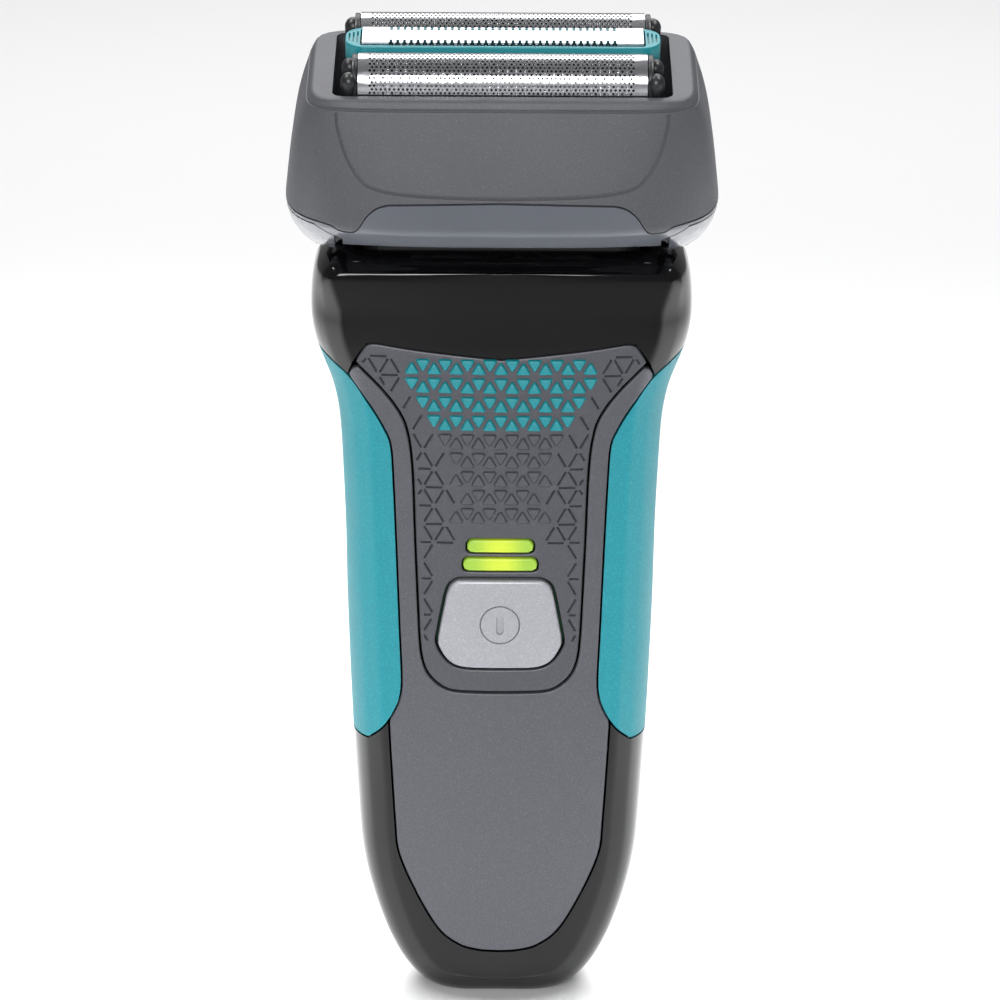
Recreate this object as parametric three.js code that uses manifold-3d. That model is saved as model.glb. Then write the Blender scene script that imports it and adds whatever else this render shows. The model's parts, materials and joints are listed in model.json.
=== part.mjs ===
// Foil shaver, standing on its base. Millimetres, +X right, +Y back, +Z up.
import * as THREE from "three";
import { mergeVertices } from "three/addons/utils/BufferGeometryUtils.js";
import Module from "manifold-3d";

const wasm = await Module();
wasm.setup();

// ---- driving dimensions ----
const gap = 0.3; // clearance between two pieces that touch
const far = 60; // reach of a cutting block
const finest = 0.01; // shortest detail kept after a cut
const sliver = 0.01; // mm3, a body smaller than this is a leftover of a cut

const handle = {
  topZ: 122.4,
  footZ: -1.2, // lowest line of the outline, cut flat at z = 0
  wall: 3.4, // shell with the pocket for a skin piece
  skin: 1.5, // fascia, insert and grips
  splitY: 2, // seam between the two housings
  stations: 22,
};
// half outline of the handle seen from the front, top to bottom: x, z
const handleOutline = [
  [0, handle.topZ], [12, handle.topZ], [23.6, handle.topZ - 0.1], [27.2, handle.topZ - 1.3],
  [28.8, handle.topZ - 4], [29.3, 112.5], [28.8, 108.2], [27.6, 104.6], [26.2, 101],
  [25.3, 97.3], [24.8, 93], [24.4, 85], [24.1, 77], [23.9, 66], [23.5, 54], [23.05, 43.6],
  [22.5, 34], [22, 26.5], [21.4, 22], [20.5, 17.8], [19, 12.8], [17.2, 8.2], [14.7, 3.8],
  [11.2, 0.4], [6.5, handle.footZ + 0.1], [0, handle.footZ],
];
const motor = { width: 20.4, depth: 13.4, height: 25, lowZ: 75, shaft: 1 };
const cell = {
  radius: 7, length: 50, lowZ: 20.5, contact: 10, contactThick: 0.8, saddle: 2.6, nub: 2.6, nubHigh: 1,
};
cell.y = -motor.depth / 2 - gap + cell.saddle + cell.radius;
cell.back = cell.y + cell.radius;
// depth of the handle in front of and behind its middle plane: z, depth
const frontDepth = [[0, 10.4], [10, 11.7], [25, 13], [45, 14], [70, 14.6], [95, 14.6], [118, 14.1]];
const rearDepth = [[0, 10.2], [10, cell.back + 2.6], [30, cell.back + 4.6], [60, cell.back + 5.7],
  [90, cell.back + 5.6], [118, cell.back + 4.3]];
const creases = {
  outer: 2.5, // first crease, in from the outline
  inner: 4.9, // second crease
  step: 2.2, // depth between the two
  crown: 1.3, // rise of the front face over the second crease
  rearCrown: 2.4,
  topScale: 0.5, // the creases draw closer to the edge across the top
};

const grip = {
  rearY: 8.5, // rear edge of the wrap
  outline: [
    [-45, 115.5], [-28.4, 106.9], [-23.4, 103.5], [-20, 99], [-17.8, 95.3], [-16.8, 92.6],
    [-16.4, 86.5], [-16, 76.8], [-15.5, 63], [-15.2, 55.2], [-15.4, 52.3], [-16, 50.3],
    [-17.2, 48], [-18.7, 46.1], [-20.4, 44.4], [-45, 41.5],
  ],
};
const fascia = {
  half: [
    [0, 106.6], [12.3, 107.9], [19.2, 108.9], [20.6, 108.7], [22.6, 105.7], [23.4, 103.5],
    [20, 99], [17.8, 95.3], [16.8, 92.6], [16.4, 86.5], [16, 76.8], [15.5, 63], [15.2, 55.2],
    [15.4, 52.3], [16, 50.3], [17.2, 48], [17.1, 45.5], [16.3, 31.3], [15.7, 25.6],
    [13.1, 19], [9.6, 12.6], [6.3, 9.8], [0, 8.7],
  ],
};
const insert = {
  sunk: 0.25,
  half: [
    [0, 110], [26, 112], [22.2, 105.7], [18, 101.4], [15.4, 97.9], [14.2, 94.7], [13.5, 89],
    [13.1, 78], [12.7, 68], [12.4, 61.6], [12, 58.3], [11, 55.8], [9, 53.9], [7, 53.2], [0, 53],
  ],
};
const button = {
  proud: 0.35,
  travel: 0.5,
  stem: 2,
  half: [[0, 71.5], [6.8, 71.4], [7.9, 70.3], [9.5, 62.2], [8.7, 59.3], [6.3, 57.4], [0, 57.1]],
  z: 64.3,
};
const light = {
  upper: { half: 5.1, z: 77.1, height: 2 },
  lower: { half: 5.7, z: 74.2, height: 2 },
  corner: 0.9, arch: 0.009, proud: 0.1,
};

const board = { faceY: -9.9, thick: 1.2, half: 11, lowZ: 46, highZ: 80, notchHalf: 2.5, notchHigh: 3 };
const tactSwitch = { size: 6, thick: 0.9, plunger: 1.2, plungerLength: 0.4 };
const chassis = { half: 13, lowZ: 26, cradleWall: 1.3, cradleZ: 82 };
const cam = { radius: 4, thick: 3, pin: 1, pinLength: 3.4, throw: 1.2 };
const bridge = { half: 9, depth: 10, thick: 2, archRise: 2.6, legWidth: 2.4 };
const post = { radius: 2, topZ: handle.topZ + 10.6, flange: 3.5, flangeThick: 1 };
const deck = {
  half: 24, frontY: -8.4, rearY: cell.back - 1.2, thick: 2, lowZ: handle.topZ - 9.4, bore: 4.8,
};
const neck = { half: 21, depth: 14.6, highZ: handle.topZ + 0.2, play: 1.5 };
const socket = {
  half: 7.2, depth: 8.8, height: 12.4, recessHalf: 6, recessDepth: 6.4, recess: 9,
  pin: 0.75, pinX: 4.4, pinLowZ: 2,
};
const screw = {
  head: 2.2, headThick: 1.6, shank: 1.1, boss: 3, sunk: 1.4, endY: -6.2,
  places: [["lower_left", -13, 27], ["lower_right", 13, 27], ["upper_left", -20, 107],
    ["upper_right", 20, 107]],
};
const popup = {
  half: 13.7, lowZ: handle.topZ - 39.4, highZ: handle.topZ - 8.4, floorY: cell.back + 1.6, trayWall: 1.4,
  combHalf: 13, combHigh: 4.2, combThick: 0.9, teeth: 17, toothDepth: 1.7,
  knobZ: handle.topZ - 30.4, knobHalf: 6.5, knobHeight: 9, knobProud: 0.9, knobSeat: 2,
  knobRib: 0.35, bladeThick: 0.7, bladeInset: 1.2,
};

// head frame of reference: tipped forward, origin in the middle of the rim
const head = {
  tilt: THREE.MathUtils.degToRad(10),
  originY: -4.5,
  originZ: handle.topZ + 27.8,
  wall: 2.2,
  rimHalf: 25.45,
  rimRadius: 1.6,
  rimThick: 2.5,
  floorH: -25,
  railV: 9.2, railHalf: 12, railThick: 1.4,
  ring: 36,
};
// rings of the head from the rim down: height, half width, front, rear, squareness
const headRings = [
  [0, 28.6, 14.5, 14.5, 9], [-1.2, 29.4, 15, 15, 8], [-6, 31, 16.4, 16.2, 6],
  [-12.6, 32.2, 18.2, 17.6, 4.6], [-19.4, 33, 19.8, 18.8, 3.6], [-22.8, 32.3, 17, 17.6, 3.2],
  [-26.2, 30.4, 13, 15.4, 3], [-28.2, 28.2, 9.6, 13, 3],
];

// the ring of the head at one height, between the two that are given
function ringAt(h) {
  const i = Math.max(1, headRings.findIndex((ring) => ring[0] <= h));
  const share = (h - headRings[i - 1][0]) / (headRings[i][0] - headRings[i - 1][0]);
  return headRings[i].map((value, k) => THREE.MathUtils.lerp(headRings[i - 1][k], value, share));
}

// hollow under the head that clears the top of the handle: depth, height
const headClearance = {
  half: 28,
  profile: [[-16, -30], [-16, -22.9], [-10, -24.9], [-4, -26.5], [1, -27.1], [8, -28.2], [16, -28.8],
    [16, -30]],
};
// parting line between the matte frame and the gloss base: x, height
const parting = [[0, -14.8], [17.3, -15.3], [18.9, -15.9], [20.3, -17], [21.4, -19], [22.5, -20],
  [24.5, -19.9], [27.8, -18.9], [45, -19.3]];
const cheek = {
  front: 15.2, lowH: -26.2, highH: -19.8, travel: 1, wall: 1.9, play: 0.5,
  springLength: 4.4, springH: -21.9, coil: 1.9, wire: 0.32,
};
cheek.faceX = ringAt(cheek.springH - cheek.coil)[1];
cheek.springX = cheek.faceX - cheek.wall - cheek.travel - cheek.play - cheek.springLength;
cheek.seatX = cheek.springX - 1.8;
cheek.innerX = cheek.springX + 1.4;
const pivot = {
  z: handle.topZ + 1.6, pin: 1.5, earX: 18.5, earThick: 2.5, earHalf: 4, reach: 26.5, play: gap,
};
const trimmer = {
  half: 23.75, depth: 7.9, top: 3.9, low: 1.6, combHalf: 21.2, combDepth: 6.3, combTop: 4.2,
  combThick: 0.5, slots: 17, pitch: 2.04, slotWidth: 1, slotDepth: 1.3,
  legH: -9, legThick: 1.2, legHalf: 2.4,
  ribs: 3, ribPitch: 0.62, ribHalf: 0.17, ribHigh: 0.3, bladeHalf: 19.6, bladeDepth: 5.6, bladeThick: 0.7,
  bladeSlots: 13, bladePitch: 3, notch: 0.6, notchDepth: 0.9,
};
const foil = {
  radius: 4.1, mouthPlay: 0.4, trimmerPlay: 0.25, top: 4.9, thick: 0.3, half: 21.6, skirtH: -4,
  segments: 10, float: 2,
};
foil.v = trimmer.depth / 2 + foil.trimmerPlay + foil.radius;
const foilFrame = {
  half: 24.2, halfDepth: foil.radius + 0.15, rail: 0.5,
  lowH: -7.2, highH: -4.3, endWall: 2, capThick: 2.1, capRise: 4.4,
};
const cutter = {
  half: 19, radius: foil.radius - foil.thick - gap, blades: 8, blade: 0.9, spine: 1.6, lowH: -3.6,
};
const yoke = { half: 14, depth: 6, lowH: -21, thick: 2.4, armH: -10.6, arm: 2.2, slotX: 2.3, slotV: 4.6 };
const cutterSpring = { coil: 2, wire: 0.35, highH: -6.6 };
const drive = { stroke: 1.2 };

// ---- helpers ----
function toSolid(geometry) {
  const bare = geometry.index ? geometry.toNonIndexed() : geometry.clone();
  for (const name of Object.keys(bare.attributes)) {
    if (name !== "position") bare.deleteAttribute(name);
  }
  const merged = mergeVertices(bare, 1e-4);
  return new wasm.Manifold(new wasm.Mesh({
    numProp: 3,
    vertProperties: merged.attributes.position.array,
    triVerts: new Uint32Array(merged.index.array),
  }));
}

function toMesh(name, made, material) {
  const { vertProperties, triVerts } = clean(made).getMesh();
  const geometry = new THREE.BufferGeometry();
  geometry.setAttribute("position", new THREE.BufferAttribute(vertProperties, 3));
  geometry.setIndex(new THREE.BufferAttribute(triVerts, 1));
  geometry.computeVertexNormals();
  const mesh = new THREE.Mesh(geometry, material);
  mesh.name = name;
  return mesh;
}

function finish(color, roughness, metalness = 0) {
  return new THREE.MeshStandardMaterial({ color, roughness, metalness });
}

// a block between two corners
function block(x0, x1, y0, y1, z0, z1) {
  const geometry = new THREE.BoxGeometry(x1 - x0, y1 - y0, z1 - z0);
  return toSolid(geometry.translate((x0 + x1) / 2, (y0 + y1) / 2, (z0 + z1) / 2));
}

// a round bar from `from` to `to` along one axis, centred on the other two coordinates
function bar(radius, axis, from, to, a, b, segments = 20) {
  const geometry = new THREE.CylinderGeometry(radius, radius, to - from, segments);
  const middle = (from + to) / 2;
  if (axis === "x") geometry.rotateZ(-Math.PI / 2).translate(middle, a, b);
  if (axis === "y") geometry.translate(a, middle, b);
  if (axis === "z") geometry.rotateX(Math.PI / 2).translate(a, b, middle);
  return toSolid(geometry);
}

function lathe(points, segments = 28) {
  const profile = points.map(([r, z]) => new THREE.Vector2(r, z));
  return toSolid(new THREE.LatheGeometry(profile, segments).rotateX(Math.PI / 2));
}

function counterClockwise(points) {
  const area = THREE.ShapeUtils.area(points.map(([x, y]) => new THREE.Vector2(x, y)));
  return area < 0 ? [...points].reverse() : points;
}

// the outline moved outwards by `distance`
function grow(points, distance) {
  const ring = counterClockwise(points);
  const count = ring.length;
  return ring.map((point, i) => {
    const here = new THREE.Vector2(...point);
    const before = here.clone().sub(new THREE.Vector2(...ring[(i + count - 1) % count])).normalize();
    const after = new THREE.Vector2(...ring[(i + 1) % count]).sub(here).normalize();
    const normal = new THREE.Vector2(before.y + after.y, -before.x - after.x).normalize();
    const share = Math.max(0.35, normal.x * before.y - normal.y * before.x);
    return [here.x + (normal.x * distance) / share, here.y + (normal.y * distance) / share];
  });
}

function mirrored(half) {
  const left = half.map(([x, z]) => [-x, z]).reverse();
  return [...half, ...left.filter(([x]) => x !== 0)];
}

// an outline in x and z pushed through from one depth to another
function frontPrism(points, y0, y1) {
  const shape = new THREE.Shape(counterClockwise(points).map(([x, z]) => new THREE.Vector2(x, z)));
  const geometry = new THREE.ExtrudeGeometry(shape, { depth: y1 - y0, bevelEnabled: false });
  return toSolid(geometry.rotateX(Math.PI / 2).translate(0, y1, 0));
}

// an outline in x and y pushed up from one height to another
function topPrism(points, z0, z1) {
  const shape = new THREE.Shape(counterClockwise(points).map(([x, y]) => new THREE.Vector2(x, y)));
  const geometry = new THREE.ExtrudeGeometry(shape, { depth: z1 - z0, bevelEnabled: false });
  return toSolid(geometry.translate(0, 0, z0));
}

// an outline in y and z pushed across from one width to another
function sidePrism(points, x0, x1) {
  const shape = new THREE.Shape(counterClockwise(points).map(([y, z]) => new THREE.Vector2(y, z)));
  const geometry = new THREE.ExtrudeGeometry(shape, { depth: x1 - x0, bevelEnabled: false });
  const turn = new THREE.Matrix4().set(0, 0, 1, x0, 1, 0, 0, 0, 0, 1, 0, 0, 0, 0, 0, 1);
  return toSolid(geometry.applyMatrix4(turn));
}

function roundedRectangle(half, halfDepth, radius, steps = 5) {
  const points = [];
  for (let corner = 0; corner < 4; corner++) {
    const sx = corner === 0 || corner === 3 ? 1 : -1;
    const sy = corner < 2 ? 1 : -1;
    for (let i = 0; i <= steps; i++) {
      const angle = (corner + i / steps) * (Math.PI / 2);
      points.push([
        sx * (half - radius) + radius * Math.cos(angle),
        sy * (halfDepth - radius) + radius * Math.sin(angle),
      ]);
    }
  }
  return points;
}

function along(table, z) {
  if (z <= table[0][0]) return table[0][1];
  for (let i = 1; i < table.length; i++) {
    const [z0, d0] = table[i - 1];
    const [z1, d1] = table[i];
    if (z <= z1) return THREE.MathUtils.lerp(d0, d1, (z - z0) / (z1 - z0));
  }
  return table[table.length - 1][1];
}

function smoothAlong(table, z) {
  const reach = 8;
  let sum = 0;
  for (const step of [-1, -0.5, 0, 0.5, 1]) sum += along(table, z + step * reach);
  return sum / 5;
}

// a solid without the slivers that a cut along a curved face can leave
function clean(made) {
  const bodies = made.simplify(finest).decompose();
  return join(bodies.filter((body) => Math.abs(body.volume()) > sliver));
}

function join(parts) {
  return parts.reduce((whole, part) => whole.add(part));
}

// a closed surface over a grid of points, its right half given and its left half mirrored
function mirroredGrid(rows) {
  const positions = [];
  const push = (a, b, c) => positions.push(...a, ...b, ...c);
  const flip = ([x, y, z]) => [-x, y, z];
  for (let i = 0; i + 1 < rows.length; i++) {
    for (let j = 0; j + 1 < rows[i].length; j++) {
      const [a, b] = [rows[i][j], rows[i][j + 1]];
      const [c, d] = [rows[i + 1][j], rows[i + 1][j + 1]];
      push(a, b, c);
      push(b, d, c);
      push(flip(a), flip(c), flip(b));
      push(flip(b), flip(c), flip(d));
    }
  }
  const geometry = new THREE.BufferGeometry();
  geometry.setAttribute("position", new THREE.Float32BufferAttribute(positions, 3));
  return toSolid(geometry);
}

// ---- handle shape ----
const outlineCurve = new THREE.SplineCurve(handleOutline.map(([x, z]) => new THREE.Vector2(x, z)));

// The whole handle as one solid, its faces moved inwards by `inset`.
function handleSolid(inset, creaseShare = 1) {
  const rows = [];
  for (let i = 0; i <= handle.stations; i++) {
    const u = i / handle.stations;
    const point = outlineCurve.getPointAt(u);
    const tangent = outlineCurve.getTangentAt(u);
    const normal = new THREE.Vector2(-tangent.y, tangent.x);
    const end = i === 0 || i === handle.stations;
    if (end) normal.set(0, i === 0 ? 1 : -1);
    const topShare = THREE.MathUtils.smoothstep(point.y, handle.topZ - 10, handle.topZ - 1);
    const scale = creaseShare * THREE.MathUtils.lerp(1, creases.topScale, topShare);
    rows.push(handleRow(point, normal, inset, scale, end));
  }
  return mirroredGrid(rows);
}

// one row of points round the right half, from the middle of the back to the middle of the front
function handleRow(point, normal, inset, scale, end) {
  const at = (depth, y) => {
    const x = end ? 0 : Math.max(0, point.x - normal.x * (depth + inset));
    return [x, y, point.y - normal.y * (depth + inset)];
  };
  const sideShares = [0.55, 1];
  const bulge = (share) => creases.outer * scale * share ** 3;
  const row = [];
  for (const [table, side, crown] of [[rearDepth, 1, creases.rearCrown], [frontDepth, -1, creases.crown]]) {
    const inner = at(creases.inner * scale, 0);
    const rise = crown * Math.min(1, inner[0] / 8);
    const face = smoothAlong(table, point.y) - inset - crown;
    const outerFace = face - creases.step * scale;
    const half = [];
    for (const share of [0, 0.45, 0.8, 1]) {
      half.push([inner[0] * share, side * (face + rise * (1 - share * share)), inner[2]]);
    }
    for (const share of [...sideShares].reverse()) half.push(at(bulge(share), side * outerFace * share));
    if (side > 0) {
      row.push(...half, at(0, 0));
    } else {
      row.push(...half.reverse());
    }
  }
  return row;
}

const outer = handleSolid(0);
const skinInner = handleSolid(handle.skin);
const pocketFloor = handleSolid(handle.skin + gap);
const cavity = handleSolid(handle.wall, 0.4);
const pocketShell = handleSolid(-gap * 4).subtract(pocketFloor);
const skinShell = outer.subtract(skinInner);

const frontY = -far;
const gripPrism = (side, extra) => {
  const points = grip.outline.map(([x, z]) => [side * -x, z]);
  return frontPrism(grow(points, extra), frontY, grip.rearY + extra);
};
const fasciaPrism = (extra) => frontPrism(grow(mirrored(fascia.half), extra), frontY, -2);
const insertPrism = (extra) => frontPrism(grow(mirrored(insert.half), extra), frontY, -2);
const buttonPrism = (extra) => frontPrism(grow(mirrored(button.half), extra), frontY, -2);

function lightPrism(bars, extra) {
  const outline = roundedRectangle(bars.half + extra, bars.height / 2 + extra, light.corner, 3);
  const arched = outline.map(([x, z]) => [x, bars.z + z - light.arch * x * x]);
  return frontPrism(arched, frontY, -2);
}

const aboveFoot = block(-far, far, -far, far, 0, far * 3);

// ---- handle pieces ----
function shellHalf(side, solidParts) {
  const seam = handle.splitY + (side * gap) / 2;
  const keep = side > 0
    ? block(-far, far, seam, far, -far, far * 3)
    : block(-far, far, -far, seam, -far, far * 3);
  const inletHole = block(-socket.half - gap, socket.half + gap, -socket.depth / 2 - gap,
    socket.depth / 2 + gap, -far, 8);
  const neckX = neck.half + neck.play;
  const neckY = neck.depth / 2 + gap;
  const neckHole = block(-neckX, neckX, -neckY, neckY, deck.lowZ + deck.thick, far * 3);
  const bosses = screw.places.map(([, x, z]) => bar(screw.boss, "y", -far, far, x, z));
  const hollow = cavity.subtract(join([...bosses, ...solidParts]));
  let made = outer.subtract(hollow).intersect(aboveFoot).subtract(inletHole).subtract(neckHole);
  for (const s of [-1, 1]) made = made.subtract(pocketShell.intersect(gripPrism(s, gap / 2)));
  return clean(made.intersect(keep));
}

function housingFront() {
  let made = shellHalf(-1, []);
  made = made.subtract(pocketShell.intersect(fasciaPrism(gap / 2)));
  made = made.subtract(buttonPrism(gap));
  for (const bars of [light.upper, light.lower]) made = made.subtract(lightPrism(bars, gap));
  for (const [, x, z] of screw.places) {
    made = made.subtract(bar(screw.shank + gap, "y", screw.endY - gap, far, x, z, 12));
  }
  return clean(made);
}

function housingRear() {
  const tray = block(-popup.half - gap - popup.trayWall, popup.half + gap + popup.trayWall,
    popup.floorY - popup.trayWall, far, popup.lowZ - gap - popup.trayWall, far * 3);
  const recess = block(-popup.half - gap, popup.half + gap, popup.floorY, far,
    popup.lowZ - gap, far * 3);
  let made = shellHalf(1, [tray]).subtract(recess);
  for (const [, x, z] of screw.places) {
    const back = screwSeat(z);
    made = made.subtract(bar(screw.shank + gap, "y", 0, far, x, z, 16));
    made = made.subtract(bar(screw.head + gap, "y", back - screw.headThick - gap, far, x, z));
  }
  return clean(made);
}

// y of the outer face of a screw head
function screwSeat(z) {
  return smoothAlong(rearDepth, z) - creases.rearCrown - screw.sunk;
}

function screwSolid(x, z) {
  const back = screwSeat(z);
  const crossHalf = 0.45;
  const cross = block(x - 1.4, x + 1.4, back - 0.8, far, z - crossHalf, z + crossHalf)
    .add(block(x - crossHalf, x + crossHalf, back - 0.8, far, z - 1.4, z + 1.4));
  return bar(screw.head, "y", back - screw.headThick, back, x, z)
    .add(bar(screw.shank, "y", screw.endY, back - screw.headThick / 2, x, z, 12))
    .subtract(cross);
}

function frontFascia() {
  return skinShell.intersect(fasciaPrism(-gap / 2)).subtract(insertPrism(gap / 2));
}

function textureInsert() {
  const slab = handleSolid(insert.sunk).subtract(skinInner);
  let made = slab.intersect(insertPrism(-gap / 2)).intersect(fasciaPrism(-gap / 2));
  made = made.subtract(buttonPrism(gap));
  for (const bars of [light.upper, light.lower]) made = made.subtract(lightPrism(bars, gap));
  return made;
}

function gripPiece(side) {
  return skinShell.intersect(gripPrism(side, -gap / 2));
}

function powerButton() {
  const cap = handleSolid(-button.proud).subtract(skinInner).intersect(buttonPrism(0));
  const face = smoothAlong(frontDepth, button.z) - handle.skin / 2;
  const end = board.faceY - tactSwitch.thick - gap - tactSwitch.plungerLength - gap - button.travel;
  return cap.add(bar(button.stem, "y", -face, end, 0, button.z, 16));
}

function lightPipe(bars) {
  const end = block(-far, far, -far, board.faceY - gap, -far, far * 3);
  return handleSolid(-light.proud).intersect(lightPrism(bars, 0)).intersect(end);
}

function circuitBoard() {
  const plate = block(-board.half, board.half, board.faceY, board.faceY + board.thick,
    board.lowZ, board.highZ);
  const notch = block(-board.notchHalf, board.notchHalf, -far, far, board.lowZ - 1,
    board.lowZ + board.notchHigh);
  return plate.subtract(notch);
}

function tactSwitchSolid() {
  const front = board.faceY - gap - tactSwitch.thick;
  const half = tactSwitch.size / 2;
  return block(-half, half, front, board.faceY - gap, button.z - half, button.z + half)
    .add(bar(tactSwitch.plunger, "y", front - tactSwitch.plungerLength, front + 0.2, 0, button.z, 16));
}

function cellSolid() {
  const top = cell.lowZ + cell.length;
  const shoulder = top - cell.nubHigh;
  return bar(cell.radius, "z", cell.lowZ, shoulder, 0, cell.y, 32)
    .add(bar(cell.nub, "z", shoulder - 0.2, top, 0, cell.y, 16));
}

function cellContact(z) {
  const half = cell.contact / 2;
  return block(-half, half, cell.y - half, cell.y + half, z, z + cell.contactThick);
}

function chassisSolid() {
  const frontFace = board.faceY + board.thick + gap;
  const plateRear = -motor.depth / 2 - gap;
  const cellTop = cell.lowZ + cell.length + gap * 2 + cell.contactThick;
  const half = motor.width / 2 + gap + chassis.cradleWall;
  const rear = motor.depth / 2 + gap + chassis.cradleWall;
  const top = motor.lowZ + motor.height - 3;
  let made = block(-chassis.half, chassis.half, frontFace, plateRear, chassis.lowZ, top);
  made = made.add(block(-half, half, frontFace, rear, chassis.cradleZ, top));
  made = made.add(block(-half, half, frontFace, rear, cellTop, motor.lowZ - gap));
  const can = block(-motor.width / 2 - gap, motor.width / 2 + gap, plateRear,
    motor.depth / 2 + gap, motor.lowZ - gap, top + 1);
  made = made.subtract(can);
  for (const z of [cell.lowZ + 6, cell.lowZ + cell.length - 9]) {
    const saddle = block(-chassis.half, chassis.half, plateRear - 0.2, cell.y, z, z + 3)
      .subtract(bar(cell.radius + gap, "z", z - 1, z + 4, 0, cell.y, 32));
    made = made.add(saddle);
  }
  for (const [, x, z] of screw.places) {
    made = made.subtract(bar(screw.boss + gap, "y", -far, far, x, z));
  }
  const window = block(-6, 6, frontFace - 1, plateRear + 0.1, cell.lowZ + 16, cell.lowZ + 34);
  return made.subtract(window);
}

function motorCase() {
  const outline = roundedRectangle(motor.width / 2, motor.depth / 2, motor.depth / 2 - 1, 8);
  const boss = bar(3, "z", motor.lowZ + motor.height - 1, motor.lowZ + motor.height, 0, 0, 20);
  return topPrism(outline, motor.lowZ, motor.lowZ + motor.height - 1).add(boss);
}

const shaftLowZ = motor.lowZ + motor.height + gap;
const camLowZ = shaftLowZ + 1;

const camFloor = 0.8; // material left between the shaft's bore and the pin

function motorShaft() {
  return bar(motor.shaft, "z", shaftLowZ, camLowZ + cam.thick - camFloor - gap, 0, 0, 16);
}

function eccentricCam() {
  const top = camLowZ + cam.thick;
  const disc = bar(cam.radius, "z", camLowZ, top, 0, 0, 24)
    .subtract(bar(motor.shaft + gap, "z", camLowZ - 1, top - camFloor, 0, 0, 16));
  return disc.add(bar(cam.pin, "z", top - 0.2, top + cam.pinLength, 0, cam.throw, 14));
}

const bridgeLowZ = camLowZ + cam.thick + 0.8;
const archTopZ = bridgeLowZ + bridge.thick + bridge.archRise + 1.2;

function driveBridge() {
  const half = bridge.half;
  const halfDepth = bridge.depth / 2;
  const slotX = cam.pin + cam.throw + drive.stroke + gap;
  const slotY = cam.pin + cam.throw + gap + 0.3;
  const high = bridgeLowZ + bridge.thick;
  const plate = block(-half, half, -halfDepth, halfDepth, bridgeLowZ, high)
    .subtract(block(-slotX, slotX, -slotY, slotY, bridgeLowZ - 1, high + 1));
  const legs = [-1, 1].map((side) => {
    const x = side * (half - bridge.legWidth / 2);
    return block(x - bridge.legWidth / 2, x + bridge.legWidth / 2, -3, 3, high - 0.2, archTopZ);
  });
  return plate.add(join(legs)).add(block(-half, half, -3, 3, archTopZ - 1.2, archTopZ));
}

function drivePost() {
  const low = archTopZ + gap;
  return lathe([[0, low], [post.flange, low], [post.flange, low + post.flangeThick],
    [post.radius, low + post.flangeThick + 0.6], [post.radius, post.topZ - 0.5],
    [post.radius - 0.5, post.topZ], [0, post.topZ]], 20);
}

function neckDeck() {
  const high = deck.lowZ + deck.thick;
  const halfDepth = (deck.rearY - deck.frontY) / 2;
  return topPrism(roundedRectangle(deck.half, halfDepth, 3), deck.lowZ, high)
    .translate([0, deck.frontY + halfDepth, 0])
    .subtract(bar(deck.bore, "z", deck.lowZ - 1, high + 1, 0, 0, 28));
}

const sealFlange = 1.2; // width of the seal's foot past the deck's bore

function shaftSeal() {
  const low = deck.lowZ + deck.thick + gap;
  const inner = post.radius + drive.stroke + gap;
  const foot = deck.bore + sealFlange;
  return lathe([[deck.bore - 0.4, low], [foot, low], [foot, low + 1],
    [inner + 1.4, low + 3], [inner + 1.4, low + 4], [inner + 0.7, low + 4.6],
    [inner + 0.7, low + 6.2], [inner, low + 6.2], [inner, low + 3], [deck.bore - 0.4, low]], 20);
}

function pivotBracket() {
  const low = deck.lowZ + deck.thick + gap;
  const high = neck.highZ;
  const outerX = pivot.earX + pivot.earThick;
  let made = topPrism(roundedRectangle(neck.half, neck.depth / 2, 3), low, high);
  made = made.subtract(bar(deck.bore + sealFlange + gap, "z", low - 1, high + 1, 0, 0, 28));
  for (const side of [-1, 1]) {
    const x0 = side > 0 ? pivot.earX : -outerX;
    const round = bar(pivot.earHalf, "x", x0, x0 + pivot.earThick, 0, pivot.z);
    const stem = block(x0, x0 + pivot.earThick, -pivot.earHalf, pivot.earHalf, high - 0.2, pivot.z);
    made = made.add(round.add(stem));
  }
  return made.subtract(bar(pivot.pin + pivot.play, "x", -far, far, 0, pivot.z, 20));
}

function pivotPin(side) {
  const inner = pivot.earX - 0.8;
  const [x0, x1] = side > 0 ? [inner, pivot.reach] : [-pivot.reach, -inner];
  return bar(pivot.pin, "x", x0, x1, 0, pivot.z, 20);
}

function chargingSocket() {
  const halfDepth = socket.depth / 2;
  let made = block(-socket.half, socket.half, -halfDepth, halfDepth, 0.4, 0.4 + socket.height);
  const recess = topPrism(roundedRectangle(socket.recessHalf, socket.recessDepth / 2, 2.4), -1,
    socket.recess);
  made = made.subtract(recess);
  for (const side of [-1, 1]) {
    made = made.subtract(bar(socket.pin + gap, "z", 0, far, side * socket.pinX, 0, 14));
  }
  return made;
}

function socketPin(side) {
  return bar(socket.pin, "z", socket.pinLowZ, socket.height + 0.4, side * socket.pinX, 0, 14);
}

// ---- pop-up trimmer in the back ----
function popupCarrier() {
  const slot = outer.intersect(block(-popup.half, popup.half, popup.floorY + gap, far,
    popup.lowZ, popup.highZ));
  const seat = block(-popup.knobHalf - gap, popup.knobHalf + gap, popup.floorY + popup.knobSeat, far,
    popup.knobZ - popup.knobHeight / 2 - gap, popup.knobZ + popup.knobHeight / 2 + gap);
  return slot.subtract(seat);
}

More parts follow.
